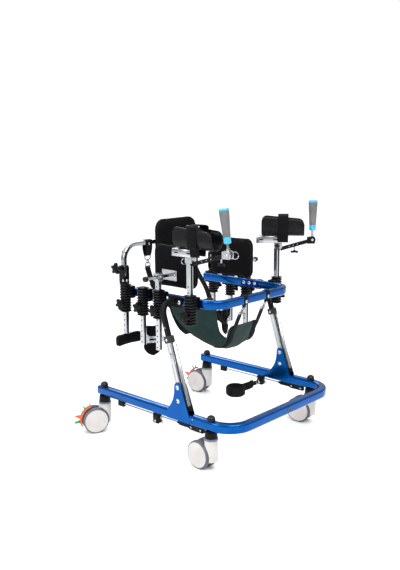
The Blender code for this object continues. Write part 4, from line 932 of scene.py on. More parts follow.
def brake_pedal(label, side, foot, trail):
    """Red and green rocking levers that hug the wheels' rims."""
    axis = trail.cross(Z_AXIS).normalized()
    place = axes_frame(foot, trail, Z_AXIS, axis)
    pedal = Piece(f"brake_lever_{label}", f"brake_{NAMES[side]}", f"brake_pedal_rear_{NAMES[side]}")
    levers = ((RED, ((72.0, 0.094, 3.5, 1.0), (17.0, 0.105, 9.0, 1.2)), -0.0103, -0.0043),
              (GREEN, ((51.0, 0.094, 3.5, 1.2), (-5.0, 0.100, 6.0, 3.2)), 0.0043, 0.0103))
    for material, prongs, low, high in levers:
        pedal.add(prism(pedal_outline(prongs), low, high, place), material, 0.0011)
    rise = math.radians(30)
    hub = spot(place, TRAIL + 0.0688 * math.cos(rise), AXLE_Z + 0.0688 * math.sin(rise), 0)
    pedal.add(rod(hub - axis * 0.0112, hub + axis * 0.0112, 0.003), STEEL)
    pedal.done("pedal_plastic")


def pedal_outline(prongs):
    """A lever's outline about the axle; prongs are (angle, reach, half angle at the root and at the tip)."""
    first, last, steps = -24.0, 76.0, 24
    inner, outer = 0.0661, 0.0734
    turns = [first + (last - first) * step / steps for step in range(steps + 1)]
    rim = [(angle, outer) for angle in turns]
    for angle, reach, root, tip in prongs:
        rim = [point for point in rim if abs(point[0] - angle) > root + 1.0]
        rim.append((angle, reach))
        flank = ((root, outer), ((root + tip) / 2 - 0.6, (reach + outer) / 2), (tip, reach - 0.002))
        for away, distance in flank:
            rim += [(angle + away, distance), (angle - away, distance)]
    polar = [(angle, inner) for angle in turns] + sorted(rim, key=lambda point: -point[0])
    return [(TRAIL + r * math.cos(math.radians(a)), AXLE_Z + r * math.sin(math.radians(a))) for a, r in polar]


# Ankle rails and cuff
def ankle_rail(side):
    """The rail under a side of the base, and the runner on it with its rings and hook."""
    label = NAMES[side]
    x = side * BASE_HALF
    rail = Piece(f"ankle_track_{label}", "base", f"ankle_rail_{label}")
    top = BASE_UNDER - 0.0004
    rail.add(box((x - 0.0088, 0.2002, 0.1502), (x + 0.0088, 0.2398, top)), BLACK, 0.0025, 3)
    rail.add(box((x - 0.0088, -0.3048, 0.1525), (x + 0.0088, -0.2200, top)), BLACK, 0.0030, 3)
    rail.add(box((x - 0.0070, -0.2230, 0.1560), (x + 0.0070, -0.1585, 0.1745)), BLACK, 0.0030, 3)
    rail.add(rod((x, 0.210, RAIL_Z), (x, -0.170, RAIL_Z), 0.0038), STEEL)
    rail.add(rod((x, -0.150, RAIL_Z), (x, -0.175, RAIL_Z), 0.0062), BLACK)
    for cheek in (-1, 1):
        for y in (-0.290, -0.235):
            add_bolt(rail, (x + cheek * 0.0088, y, RAIL_Z), X_AXIS * cheek, 0.0035, 0.002)
    thin = smooth_path([(x + side * 0.004, -0.225, 0.1535), (x + side * 0.004, -0.262, 0.1505),
                        (x + side * 0.003, -0.300, 0.1525)], 6)
    rail.add(wire(thin, 0.0013), STEEL)
    rail.done("black_plastic")
    y = SLIDER_Y[side]
    slider = Piece(f"ankle_runner_{label}", f"ankle_{label}", f"ankle_slider_{label}")
    slider.add(box((x - 0.0148, y - 0.0170, 0.1302), (x + 0.0148, y + 0.0170, 0.1700)), BLACK, 0.0035, 3)
    slider.add(box((x - 0.0100, y - 0.0208, 0.1560), (x + 0.0100, y + 0.0208, 0.1765)), BLACK, 0.0030, 3)
    slider.add(rod((x - 0.0150, y, 0.1420), (x + 0.0150, y, 0.1420), 0.0042), CHROME)
    for end in (-1, 1):
        centre = Vector((x + side * 0.002, y + end * 0.030, 0.1575))
        slider.add(ring_wire(centre, X_AXIS + Z_AXIS * 0.2, 0.0085, 0.0010), CHROME)
        pin = (centre + Vector((0, -end * 0.012, 0.004)), centre + Vector((0, end * 0.004, 0.004)))
        slider.add(rod(*pin, 0.0018, 12), CHROME)
    hook = smooth_path([(x, y - 0.018, 0.146), (x, y - 0.030, 0.147), (x, y - 0.034, 0.140),
                        (x, y - 0.028, 0.136)], 5)
    slider.add(wire(hook, 0.0018), BLACK)
    if side == RIGHT:
        slider.add(ring_wire((x, y + 0.001, 0.1245), Y_AXIS, 0.0075, 0.0014), CHROME)
    slider.done("black_plastic")


def ankle_cuff():
    """The padded cuff: a quilted band wrapped round with its overlapping end, and the strap to the runner."""
    y = SLIDER_Y[LEFT]
    cuff = Piece("ankle_cuff_band", "ankle_left", "ankle_cuff_left")
    rings = []
    sides, levels = 64, 14
    for i in range(sides):
        angle = 2 * math.pi * i / sides
        section = []
        swell = 0.0014 * math.cos(8 * angle)
        for inward, row in ((0, range(levels + 1)), (1, range(levels, -1, -1))):
            for step in row:
                t = step / levels
                z = CUFF_Z + CUFF_HALF * (2 * t - 1)
                edge = 1 - abs(2 * t - 1) ** 6
                radius = 0.0385 - 0.0003 * edge if inward else 0.0412 + (0.0062 + swell) * edge
                section.append(Vector((CUFF_X + radius * math.cos(angle), y + radius * math.sin(angle), z)))
        rings.append(section)
    cuff.add(loft(rings, looped=True), VELOUR)
    flap = []
    for step in range(21):
        angle = math.radians(200 + 100 * step / 20)
        radius = 0.0485 + 0.0002 * math.sin(step)
        flap.append((CUFF_X + radius * math.cos(angle), y + radius * math.sin(angle), CUFF_Z))
    cuff.add(strap_shape(flap, 0.036, 0.0024, Z_AXIS), WEBBING)
    strap = smooth_path([(CUFF_X + 0.043, y, CUFF_Z), (0.240, y + 0.002, CUFF_Z - 0.003),
                         (0.272, y - 0.001, CUFF_Z - 0.002), (0.302, y, CUFF_Z)], 8)
    cuff.add(strap_shape(strap, 0.040, 0.0105, Z_AXIS), VELOUR, 0.002)
    web = smooth_path([(0.298, y, CUFF_Z), (0.320, y + 0.001, CUFF_Z - 0.003), (0.340, y, CUFF_Z - 0.002)], 6)
    cuff.add(strap_shape(web, 0.024, 0.0024, Z_AXIS), WEBBING)
    cuff.add(ring_wire((0.343, y, CUFF_Z - 0.001), Y_AXIS, 0.0125, 0.0016, 0.7), CHROME)
    for x in (0.215, 0.290):
        cuff.add(block((x, y, CUFF_Z), (0.0030, 0.0132, 0.0390)), WEBBING, 0.001)
    cuff.done("black_upholstery")


def leg_place(side):
    """The frame of a leg: its foot on the base, across, forward and along it."""
    return axes_frame((side * BASE_HALF, LEG_FOOT_Y, BASE_TOP), X_AXIS, LEG_FORWARD, LEG_AXIS)


# Legs
def leg(side):
    """A hollow leg extrusion with its collar and quick pin, and the round strut in front of it."""
    label = NAMES[side]
    place = leg_place(side)
    tube = Piece(f"leg_extrusion_{label}", "base", f"leg_tube_{label}")
    outline = extrusion_outline(*LEG_SIZE)
    bore = (LEG_SIZE[0] / 2 - LEG_WALL, LEG_SIZE[1] / 2 - LEG_WALL)
    collar_low = LEG_LENGTH - COLLAR_HEIGHT
    tube.add(bored_prism(outline, bore, 0.0092, collar_low + 0.001, place), SILVER)
    # A thin strip of painted shade on the floor of the front slot.
    tube.add(block((0, LEG_SIZE[1] / 2 - LEG_SLOT_DEPTH, 0.160), (0.0090, 0.0005, 0.298), place), SHADE)
    ring = rounded_outline(COLLAR_SIZE - 0.0006, COLLAR_SIZE - 0.0006, 0.006, 4)
    tube.add(bored_prism(ring, bore, collar_low + 0.0004, LEG_LENGTH - 0.0004, place), COLLAR_GREY, 0.0018, 3)
    for cheek in (-1, 1):
        face = spot(place, cheek * (COLLAR_SIZE / 2 - 0.0004), 0, LEG_LENGTH - 0.016)
        add_bolt(tube, face, X_AXIS * cheek, 0.0048, 0.0026)
    pin = spot(place, side * 0.0150, 0.002, 0.262)
    tube.add(rod(pin, pin + X_AXIS * side * 0.006, 0.0045), CHROME)
    tube.add(ring_wire(pin + Vector((side * 0.0075, 0, -0.008)), X_AXIS, 0.0095, 0.0011), CHROME)
    clip = ((0.006, 0.004, 0.0), (0.010, -0.006, -0.018), (0.011, -0.018, -0.036), (0.009, -0.031, -0.042),
            (0.007, -0.037, -0.026), (0.006, -0.030, -0.004))
    tube.add(wire(smooth_path([pin + Vector((side * a, b, c)) for a, b, c in clip], 7), 0.0011), CHROME)
    tube.done("satin_aluminium")

    centre = spot(place, 0, LEG_SIZE[1] / 2 + 0.0105 + 0.0003, 0)
    strut = Piece(f"leg_round_strut_{label}", "base", f"leg_strut_{label}")
    strut.add(turned([(0.0103, 0.0050), (0.0103, 0.0262), (0.0092, 0.0278)], centre, LEG_AXIS, 40), BLACK)
    top = collar_low - 0.0005
    strut.add(turned([(0.0086, 0.0270), (0.0086, top - 0.002), (0.0070, top)], centre, LEG_AXIS, 40), STEEL)
    strut.done("spring_steel")


def extrusion_outline(width, depth):
    """A slotted extrusion: rounded corners, shallow grooves on its sides and a wide slot in front."""
    corner = 0.0035
    w, d = width / 2, depth / 2
    points = []
    quarter = [math.radians(90 * step / 4) for step in range(5)]
    points += [(w - corner + corner * math.cos(a), -(d - corner) - corner * math.sin(a)) for a in quarter]
    points += [(-(w - corner) - corner * math.sin(a), -(d - corner) - corner * math.cos(a)) for a in quarter]
    points += [(-w, -0.0042), (-w + 0.0012, -0.0030), (-w + 0.0012, 0.0030), (-w, 0.0042)]
    points += [(-(w - corner) - corner * math.cos(a), d - corner + corner * math.sin(a)) for a in quarter]
    points += [(-0.0052, d), (-0.0046, d - LEG_SLOT_DEPTH), (0.0046, d - LEG_SLOT_DEPTH), (0.0052, d)]
    points += [(w - corner + corner * math.sin(a), d - corner + corner * math.cos(a)) for a in quarter]
    points += [(w, 0.0042), (w - 0.0012, 0.0030), (w - 0.0012, -0.0030), (w, -0.0042)]
    return points[::-1]


def leg_riser(side):
    """The tube that slides in a leg and bends to a flange on the upper frame."""
    label = NAMES[side]
    place = leg_place(side)
    bend = 0.058
    outline = rounded_outline(LEG_SIZE[0] - 0.0068, LEG_SIZE[1] - 0.0068, 0.0055, 4)
    inward = -X_AXIS * side
    start = spot(place, 0, 0, 0.488 - bend)
    flange_out = FRAME_HALF + FRAME_SIZE[0] / 2 + 0.0003 + 0.0077
    path = [spot(place, 0, 0, RISER_BOTTOM)]
    path += quarter_turn(start + inward * bend, -inward * bend, LEG_AXIS * bend, 16)
    path.append(Vector((side * (flange_out - 0.002), *path[-1].yz)))
    riser = Piece(f"leg_riser_tube_{label}", "upper", f"leg_riser_{label}")
    riser.add(swept(path, outline, LEG_FORWARD), MATTE)
    xs = span(side, flange_out - 0.0075, flange_out - 0.0002)
    riser.add(box((xs[0], -0.0975, 0.6565), (xs[1], -0.0005, 0.7048)), MATTE, 0.0022, 3)
    hole = spot(place, side * (LEG_SIZE[0] / 2 - 0.0036), 0, 0.378)
    riser.add(turned([(0.0035, -0.001), (0.0035, 0.0004), (0.0022, 0.0002)], hole, X_AXIS * side, 20), CHROME)
    for y, z in ((-0.083, 0.681), (-0.010, 0.691)):
        add_bolt(riser, (side * flange_out, y, z), X_AXIS * side, 0.0082, 0.0046)
    riser.done("black_coated_tube")


# Upper frame
def upper_frame():
    """The U-shaped upper tube with its end plugs, inner plates and two webbing loops."""
    top = Piece("upper_frame_tube", "upper", "upper_frame")
    outline = rounded_outline(*FRAME_SIZE, 0.009)
    middle_z = FRAME_TOP - FRAME_SIZE[1] / 2
    top.add(swept(u_path(FRAME_HALF, FRAME_FRONT, FRAME_REAR, FRAME_CORNER, middle_z), outline, Z_AXIS), BLUE)
    for side in (RIGHT, LEFT):
        end = (side * FRAME_HALF, FRAME_REAR - 0.001, middle_z)
        top.add(block(end, (FRAME_SIZE[0] - 0.004, 0.006, FRAME_SIZE[1] - 0.004)), BLACK, 0.0015)
        inner = FRAME_HALF - FRAME_SIZE[0] / 2 - 0.0028
        xs = span(side, inner, inner + 0.006)
        top.add(box((xs[0], -0.104, FRAME_TOP - 0.0365), (xs[1], 0.006, FRAME_TOP - 0.0035)), NAVY, 0.0012)
        for y in (-0.083, -0.049, -0.015):
            add_bolt(top, (side * inner, y, 0.689), -X_AXIS * side, 0.0066, 0.0036)
    for x in (-FRONT_STRAP_X, FRONT_STRAP_X):
        w, h = FRAME_SIZE[0] / 2 + 0.0013, FRAME_SIZE[1] / 2 + 0.0013
        outline = rounded_outline(2 * w, 2 * h, 0.0100, 6)
        loop = [Vector((x, FRAME_FRONT + a, middle_z + b)) for a, b in outline]
        loop.append(loop[0])
        top.add(strap_shape(loop, 0.0255, 0.0018), WEBBING)
        add_bolt(top, (x, FRAME_FRONT - w - 0.0005, FRAME_TOP - 0.026), -Y_AXIS, 0.0062, 0.0030)
    top.done("blue_anodised")


def clamp(kind, side):
    """A ribbed sleeve for a post with a core of painted shade in its grooves, its jaw on the frame and its
    knob.
    """
    label = NAMES[side]
    x, y = side * POST_X, POST_Y[kind]

    def square(size, z, corner):
        return [(x + a, y + b, z) for a, b in rounded_outline(size, size, corner, 4)]

    body = Piece(f"clamp_sleeve_{kind}_{label}", "upper", f"clamp_{kind}_{label}")
    fin = (CLAMP_TOP - CLAMP_BOTTOM - 0.004) / CLAMP_FINS
    steps = ((0.0, 0.0034), (0.06, 0.0014), (0.14, 0.0002), (0.34, 0.0002), (0.46, 0.0014), (0.52, 0.0034),
             (0.56, 0.0095), (0.97, 0.0095))
    rings = []
    for number in range(CLAMP_FINS):
        base = CLAMP_BOTTOM + number * fin
        rings += [square(CLAMP_SIZE - inset, base + fin * share, 0.0075) for share, inset in steps]
    bore = POST_SIZE + 0.0008
    rim = shifted(CLAMP_SIZE, CLAMP_TOP, ((-0.002, -0.004), (0.0, -0.003), (0.0, -0.001), (-0.002, 0.0)))
    rim += [(POST_SIZE + 0.003, CLAMP_TOP), (bore, CLAMP_TOP - 0.002), (bore, CLAMP_BOTTOM)]
    rings += [square(size, z, min(0.0075, size * 0.12)) for size, z in rim]
    body.add(loft(rings, looped=True), SATIN_BLACK)
    # The core is painted shade: a near-black tube just proud of the grooves' floors.
    low, high = CLAMP_BOTTOM + 0.001, CLAMP_TOP - 0.005
    outer, inner = CLAMP_SIZE - 0.0092, bore + 0.0006
    sizes = ((outer, low), (outer, high), (inner, high), (inner, low))
    core = [square(size, z, min(0.0055, size * 0.12)) for size, z in sizes]
    body.add(loft(core, looped=True), SHADE)
    tube = FRAME_HALF + FRAME_SIZE[0] / 2
    under = FRAME_TOP - FRAME_SIZE[1]
    jaw = ((tube - 0.0178, FRAME_TOP + 0.0005, FRAME_TOP + 0.0088, 0.0022),
           (tube - 0.0178, under - 0.0088, under - 0.0005, 0.0022),
           (tube + 0.0005, under - 0.006, FRAME_TOP + 0.006, 0.0))
    for start, low, high, soft in jaw:
        xs = span(side, start, POST_X - CLAMP_SIZE / 2 + 0.006)
        body.add(box((xs[0], y - JAW_HALF, low), (xs[1], y + JAW_HALF, high)), BLACK, soft, 3)
    face = (side * (POST_X + CLAMP_SIZE / 2 - 0.002), y, KNOB_Z)
    add_star_knob(body, face, X_AXIS * side, 0.0088, 0.35 + 0.5 * list(POST_Y).index(kind))
    body.done("black_plastic")


# Back support
def back_support(side):
    """A back post with the pivot sleeve on its top: two cheeks on a block, bolts and the pivot's knob."""
    label = NAMES[side]
    x, y = side * POST_X, POST_Y["back"]
    post = Piece(f"back_column_{label}", "back_support", f"back_post_{label}")
    holed_post(post, x, y, 0.4902, CLAMP_TOP + 0.002, 0.506)
    low = CLAMP_TOP + 0.0006
    top = low + 0.0884
    cheek = POST_SIZE / 2 + 0.0005
    outer = cheek + 0.0047
    socket = box((x - outer, ARCH_Y - 0.0188, low), (x + outer, ARCH_Y + 0.0188, low + 0.0275))
    post.add(socket, BLACK, 0.0028, 3)
    heel = (ARCH_Y + 0.0186, top - 0.010)
    outline = [(ARCH_Y - 0.0186, low + 0.002), (ARCH_Y + 0.0186, low + 0.002), heel]
    outline += smooth_outline([heel, (ARCH_Y + 0.012, top - 0.002), (ARCH_Y, top - 0.0004),
                               (ARCH_Y - 0.012, top - 0.002), (ARCH_Y - 0.0186, top - 0.010)], 4)
    place = axes_frame((0, 0, 0), Y_AXIS, Z_AXIS, X_AXIS)
    for sign in (-1, 1):
        xs = sorted((x + sign * cheek, x + sign * outer))
        post.add(prism(outline, xs[0], xs[1], place), BLACK, 0.0014)
    out = X_AXIS * side
    knob = Vector((x, ARCH_Y, PIVOT_Z)) + out * outer
    add_star_knob(post, knob, out, 0.0275, 0.9)
    post.add(turned([(0.012, -0.001), (0.012, 0.010), (0.0100, 0.012)], knob, out, 32), BLACK)
    add_bolt(post, (x, ARCH_Y - 0.0188 - 0.0001, 0.7455), -Y_AXIS, 0.0052, 0.0026)
    add_bolt(post, (x - side * (outer + 0.0001), ARCH_Y - 0.006, 0.7945), -out, 0.0052, 0.0026)
    add_bolt(post, (x + side * outer, ARCH_Y - 0.009, 0.7455), out, 0.0048, 0.0026)
    post.done("satin_aluminium")


def back_arch():
    """The tube over the back, with dark discs of painted shade for the holes in its legs, and two hanging
    loops.
    """
    arch = Piece("back_arch_tube", "back_rest", "back_arch")
    corner = ARCH_CORNER
    path = [Vector((-POST_X, ARCH_Y, ARCH_BOTTOM))]
    path += quarter_turn((-POST_X + corner, ARCH_Y, ARCH_TOP - corner), (-corner, 0, 0), (0, 0, corner), 18)
    path += quarter_turn((POST_X - corner, ARCH_Y, ARCH_TOP - corner), (0, 0, corner), (corner, 0, 0), 18)
    path.append(Vector((POST_X, ARCH_Y, ARCH_BOTTOM)))
    arch.add(swept(path, rounded_outline(POST_SIZE - 0.0004, POST_SIZE - 0.0004, 0.0042, 4), Y_AXIS), SILVER)
    # Each hole is a near-black disc of painted shade set into the tube's face.
    hole = [(0.0034, -0.001), (0.0034, 0.00025), (0.0028, 0.0002), (0.0027, 0.00026)]
    for side in (RIGHT, LEFT):
        for step in range(3):
            for sign in (-1, 1):
                y = ARCH_Y + sign * (POST_SIZE / 2 - 0.0002)
                face = (side * POST_X, y, ARCH_HOLE_LOW + step * HOLE_PITCH)
                arch.add(turned(hole, face, Y_AXIS * sign, 20), SHADE)
        hanging_loop(arch, side * LOOP_X)
    arch.done("satin_aluminium")


def hanging_loop(arch, x):
    """A webbing loop over the arch with a rivet, a ring in it and a snap hook down to the pivot's height."""
    half = POST_SIZE / 2 + 0.0014
    place = Matrix.Translation((x, ARCH_Y, ARCH_TOP))
    path = ((-0.0030, -0.064), (-half, -0.030), (-half, half - 0.005), (-half + 0.005, half),
            (half - 0.005, half), (half, half - 0.005), (half, -0.030), (0.0030, -0.064))
    arch.add(strap_shape(smooth_path([spot(place, 0, b, c) for b, c in path], 5), 0.0400, 0.0022), WEBBING)
    add_bolt(arch, spot(place, 0, -half - 0.0008, -0.006), -Y_AXIS, 0.0062, 0.0028)
    seam = [spot(place, 0, -half - 0.0005, c) for c in (-0.014, -0.021)]
    arch.add(strap_shape(seam, 0.0385, 0.0022), WEBBING)
    arch.add(ring_wire(spot(place, 0, 0, -0.0720), Y_AXIS, 0.0125, 0.0024, 1.45), WIRE)
    collar = [(0.0052, 0.0), (0.0052, 0.0060), (0.0034, 0.0072)]
    arch.add(turned(collar, spot(place, 0, 0, -0.0890), Z_AXIS, 24), WIRE)
    hook = ((0.0, -0.087), (0.0055, -0.092), (0.0060, -0.097), (0.0, -0.1015), (-0.0060, -0.097),
            (-0.0045, -0.091))
    arch.add(wire(smooth_path([spot(place, a, 0, c) for a, c in hook], 5), 0.0022), WIRE)


# Cushions
def cushion(name, body, cad_node, size, corner, place, bend, point=0.0, channel=None):
    """A crowned, piped pad: its width, height and face are along the frame's first, second and third axis."""
    width, height, thick = size
    thick -= PAD_SWELL * 0.8
    grid = 26
    shape = bmesh.new()
    uv = shape.loops.layers.uv.new("UVMap")

    def at(u, v, front):
        """A point of the pad: u and v from -1 to 1, mapped onto its rounded outline."""
        reach = max(abs(u), abs(v))
        x, y = rounded_point(u, v, width / 2, height / 2, corner)
        crown = (1 - reach ** 5) ** 0.5
        if y < 0:
            y -= point * max(0.0, 1 - abs(x) / (0.45 * width)) * (-2 * y / height)
        z = front * thick / 2 * (0.30 + 0.70 * crown)
        z += bend * (2 * x / width) ** 2 * (1.0 if front > 0 else BACK_BEND)
        return spot(place, x, y, z)

    steps = [2 * i / grid - 1 for i in range(grid + 1)]
    layers = {}
    for front in (-1, 1):
        layers[front] = {(i, j): shape.verts.new(at(u, v, front))
                         for i, u in enumerate(steps) for j, v in enumerate(steps)}
    rim = [(i, 0) for i in range(grid)] + [(grid, j) for j in range(grid)]
    rim += [(i, grid) for i in range(grid, 0, -1)] + [(0, j) for j in range(grid, 0, -1)]
    for front in (-1, 1):
        for i in range(grid):
            for j in range(grid):
                keys = ((i, j), (i + 1, j), (i + 1, j + 1), (i, j + 1))
                corners = [layers[front][key] for key in keys]
                face = shape.faces.new(corners if front > 0 else corners[::-1])
                for loop, (a, b) in zip(face.loops, keys):
                    loop[uv].uv = (a * width / grid, b * height / grid)
    halfway = {key: (layers[-1][key].co + layers[1][key].co) / 2 for key in layers[1]}
    centre = halfway[(grid // 2, grid // 2)]
    middle = {}
    for key in rim:
        outward = (halfway[key] - centre).normalized()
        middle[key] = shape.verts.new(halfway[key] + outward * thick * EDGE_SWELL)
    for k, key in enumerate(rim):
        following = rim[(k + 1) % len(rim)]
        shape.faces.new((layers[-1][key], layers[-1][following], middle[following], middle[key]))
        shape.faces.new((middle[key], middle[following], layers[1][following], layers[1][key]))
    seams = [[layers[front][key].co.copy() for key in rim] for front in (1, -1)]
    shape = inflated(shape, place)
    tree = BVHTree.FromBMesh(shape)
    seams = [[tree.find_nearest(point_on)[0] for point_on in seam] for seam in seams]
    if channel is not None:
        sink_channel(shape, place, channel)
    pad = Piece(name, body, cad_node)
    pad.add(shape, PAD)
    for seam, radius in zip(seams, (0.0017, 0.0013)):
        pad.add(wire(seam, radius, 8, looped=True), PIPING)
    pad.done("black_upholstery", 80)


def sink_channel(shape, place, height):
    """Sinks a sewn line across a pad's face at a height."""
    back = place.inverted()
    face = place.to_3x3() @ Z_AXIS
    for vertex in shape.verts:
        local = back @ vertex.co
        if local.z > 0:
            vertex.co -= face * CHANNEL_DEPTH * math.exp(-((local.y - height) / CHANNEL_HALF) ** 2)


def inflated(shape, place):
    """A pad swollen by air pressure: no point moves by more than PAD_SWELL, or behind the flat back."""
    pad = plain_object("pad", shape)
    even = pad.modifiers.new("even", "REMESH")
    even.mode = "VOXEL"
    even.voxel_size = PAD_VOXEL
    graph = bpy.context.evaluated_depsgraph_get()
    pad.data = bpy.data.meshes.new_from_object(pad.evaluated_get(graph))
    pad.modifiers.clear()
    still = [vertex.co.copy() for vertex in pad.data.vertices]
    air = pad.modifiers.new("air", "CLOTH")
    air.settings.use_pressure = True
    air.settings.uniform_pressure_force = PAD_PRESSURE
    air.settings.effector_weights.gravity = 0.0
    for moment in range(1, PAD_FRAMES + 1):
        bpy.context.scene.frame_set(moment)
    graph = bpy.context.evaluated_depsgraph_get()
    moved = [vertex.co.copy() for vertex in pad.evaluated_get(graph).data.vertices]
    pad.modifiers.clear()
    turn, back, from_place = place.to_3x3(), place.to_3x3().inverted(), place.inverted()
    for vertex, old, new in zip(pad.data.vertices, still, moved):
        step = new - old
        if step.length > PAD_SWELL:
            step *= PAD_SWELL / step.length
        local = back @ step
        if (from_place @ old).z < 0:
            local.z = max(local.z, 0.0)
        vertex.co = old + turn @ local
    smooth = pad.modifiers.new("smooth", "SUBSURF")
    smooth.levels = 1
    bpy.context.scene.frame_set(1)
    result = bmesh.new()
    result.from_object(pad, bpy.context.evaluated_depsgraph_get())
    mesh = pad.data
    bpy.data.objects.remove(pad)
    bpy.data.meshes.remove(mesh)
    return result


def rounded_point(u, v, half_width, half_height, corner):
    """Maps the square onto a rounded rectangle, ring by ring."""
    reach = max(abs(u), abs(v))
    if reach == 0:
        return 0.0, 0.0
    x, y = u * half_width, v * half_height
    radius = corner * reach
    inner_x, inner_y = half_width * reach - radius, half_height * reach - radius
    if abs(x) > inner_x and abs(y) > inner_y:
        dx, dy = abs(x) - inner_x, abs(y) - inner_y
        share = dy / radius / 2 if dx >= radius - 1e-9 else 1 - dx / radius / 2
        angle = share * math.pi / 2
        return (math.copysign(inner_x + radius * math.cos(angle), x),
                math.copysign(inner_y + radius * math.sin(angle), y))
    return x, y


def thigh_place(side, a=0.0, b=0.0, c=0.0):
    """A frame on a thigh arm, moved by a, b and c on its axes: along the arm, up and towards the pad."""
    along = Vector((-side * math.cos(THIGH_TURN), -math.sin(THIGH_TURN), 0))
    away = Vector((-side * math.sin(THIGH_TURN), math.cos(THIGH_TURN), 0))
    foot = Vector((side * POST_X, POST_Y["thigh"], THIGH_LOW))
    return axes_frame(foot + along * a + Z_AXIS * b + away * c, along, Z_AXIS, away)


def pads():
    """The back, hip, thigh and rear cushions."""
    pad_y = ARCH_Y - POST_SIZE / 2 - PAD_GAP - 0.018
    place = axes_frame((0, pad_y, 0.930), X_AXIS, Z_AXIS, -Y_AXIS)
    cushion("back_cushion", "back_rest", "back_pad", (0.278, 0.178, 0.0355), 0.054, place, 0.012)
    for side in (RIGHT, LEFT):
        label = NAMES[side]
        x = side * (HIP_PLATE_X - PAD_GAP - 0.020)
        place = axes_frame((x, POST_Y["hip"], HIP_PAD_Z), Y_AXIS, Z_AXIS, -X_AXIS * side)
        cushion(f"hip_cushion_{label}", f"hip_guide_{label}", f"hip_pad_{label}",
                (0.264, 0.196, 0.0392), 0.040, place, 0.014, channel=0.012)
        place = thigh_place(side, 0.047, 0.016, 0.0025 + PAD_GAP + 0.014)
        cushion(f"thigh_cushion_{label}", f"thigh_support_{label}", f"thigh_pad_{label}",
                (0.084, 0.128, 0.0275), 0.022, place, 0.010, point=0.020)
        middle = (side * (POST_X - 0.010), POST_Y["back"], 0.4897 - 0.0265)
        place = axes_frame(middle, X_AXIS, Z_AXIS, -Y_AXIS)
        cushion(f"rear_cushion_{label}", "back_support", f"rear_pad_{label}",
                (0.148, 0.051, 0.0270), 0.012, place, 0.008)


# Hip and thigh supports
def hip_support(side):
    """A hip post with the guide on its head, and the cross bar with its pad plate and knob."""
    label = NAMES[side]
    x, y = side * POST_X, POST_Y["hip"]
    out = X_AXIS * side
    post = Piece(f"hip_column_{label}", f"hip_support_{label}", f"hip_post_{label}")
    holed_post(post, x, y, 0.4492, 0.768, 0.4625)
    post.add(block((x, y, 0.7752), (0.0316, 0.0356, 0.0150)), SILVER, 0.002)
    post.add(block((x, y, 0.7975), (0.0316, 0.0356, 0.0105)), SILVER, 0.002)
    for sign in (-1, 1):
        post.add(block((x, y + sign * 0.0145, 0.786), (0.0316, 0.0066, 0.024)), SILVER, 0.0015)
        add_bolt(post, (x, y + sign * 0.0178, 0.786), Y_AXIS * sign, 0.0045, 0.0022)
    post.done("satin_aluminium")
    bar = Piece(f"hip_cross_bar_{label}", f"hip_guide_{label}", f"hip_bar_{label}")
    xs = span(side, 0.2295, 0.384)
    flat_bar = box((xs[0], y - 0.0098, HIP_HEAD_Z - 0.0058), (xs[1], y + 0.0098, HIP_HEAD_Z + 0.0058))
    bar.add(flat_bar, STEEL, 0.0018)
    xs = span(side, HIP_PLATE_X + 0.0002, 0.2298)
    plate = box((xs[0], y + 0.012 - 0.0468, 0.7582), (xs[1], y + 0.012 + 0.0468, 0.8058))
    bar.add(plate, SILVER, 0.0009)
    # A thin near-black strip of painted shade lies under each bolt.
    for end in (-1, 1):
        face = Vector((side * 0.2299, y + 0.012 + end * 0.034, 0.782))
        bar.add(block(face, (0.0004, 0.018, 0.0060)), SHADE)
        add_bolt(bar, face + out * 0.0003, out, 0.0058, 0.0028)
    knob = [(0.0090, -0.004), (0.0128, 0.0), (0.0128, 0.011), (0.0108, 0.0150), (0.0070, 0.0158)]
    bar.add(turned(knob, (side * 0.3835, y, HIP_HEAD_Z), out, 40), GLOSS_BLACK)
    # A thin strip of painted shade along the bar's top stands for its slot.
    bar.add(block((side * 0.340, y, HIP_HEAD_Z + 0.0062), (0.052, 0.0055, 0.0006)), SHADE)
    bar.done("satin_aluminium")


def thigh_support(side):
    """A thigh post with the arm at its foot, whose slot is drawn as strips of painted shade on both faces."""
    label = NAMES[side]
    x, y = side * POST_X, POST_Y["thigh"]
    post = Piece(f"thigh_column_{label}", f"thigh_support_{label}", f"thigh_post_{label}")
    holed_post(post, x, y, 0.4572, 0.7288, 0.4715)
    post.add(box((x - 0.0085, y - 0.0085, 0.7284), (x + 0.0085, y + 0.0085, 0.7290)), BLACK)
    place = thigh_place(side)
    outline = shifted(0.048, 0.016, rounded_outline(0.1036, 0.0316, 0.006, 4))
    post.add(prism(outline, -0.0024, 0.0024, place), SILVER, 0.0006, 1)
    # Strips of painted shade on both faces of the arm stand for its slot.
    for face in (-0.0025, 0.0025):
        post.add(block((0.056, 0.016, face), (0.060, 0.0078, 0.0003), place), SHADE)
    add_bolt(post, spot(place, 0.066, 0.016, -0.0026), place.to_3x3() @ -Z_AXIS, 0.0062, 0.003)
    gusset = [(0.006, 0.032), (0.026, 0.032), (0.006, 0.052)]
    post.add(prism(gusset, -0.0012, 0.0012, place), SILVER)
    post.done("satin_aluminium")


# Arm supports
def arm_place(side):
    """The frame of an arm on its post, and the direction in which the arm points."""
    turn = ARM_YAW[side]
    forward = Vector((math.sin(turn), -math.cos(turn), 0))
    return axes_frame((side * POST_X, POST_Y["arm"], 0), forward, Z_AXIS, forward.cross(Z_AXIS)), forward


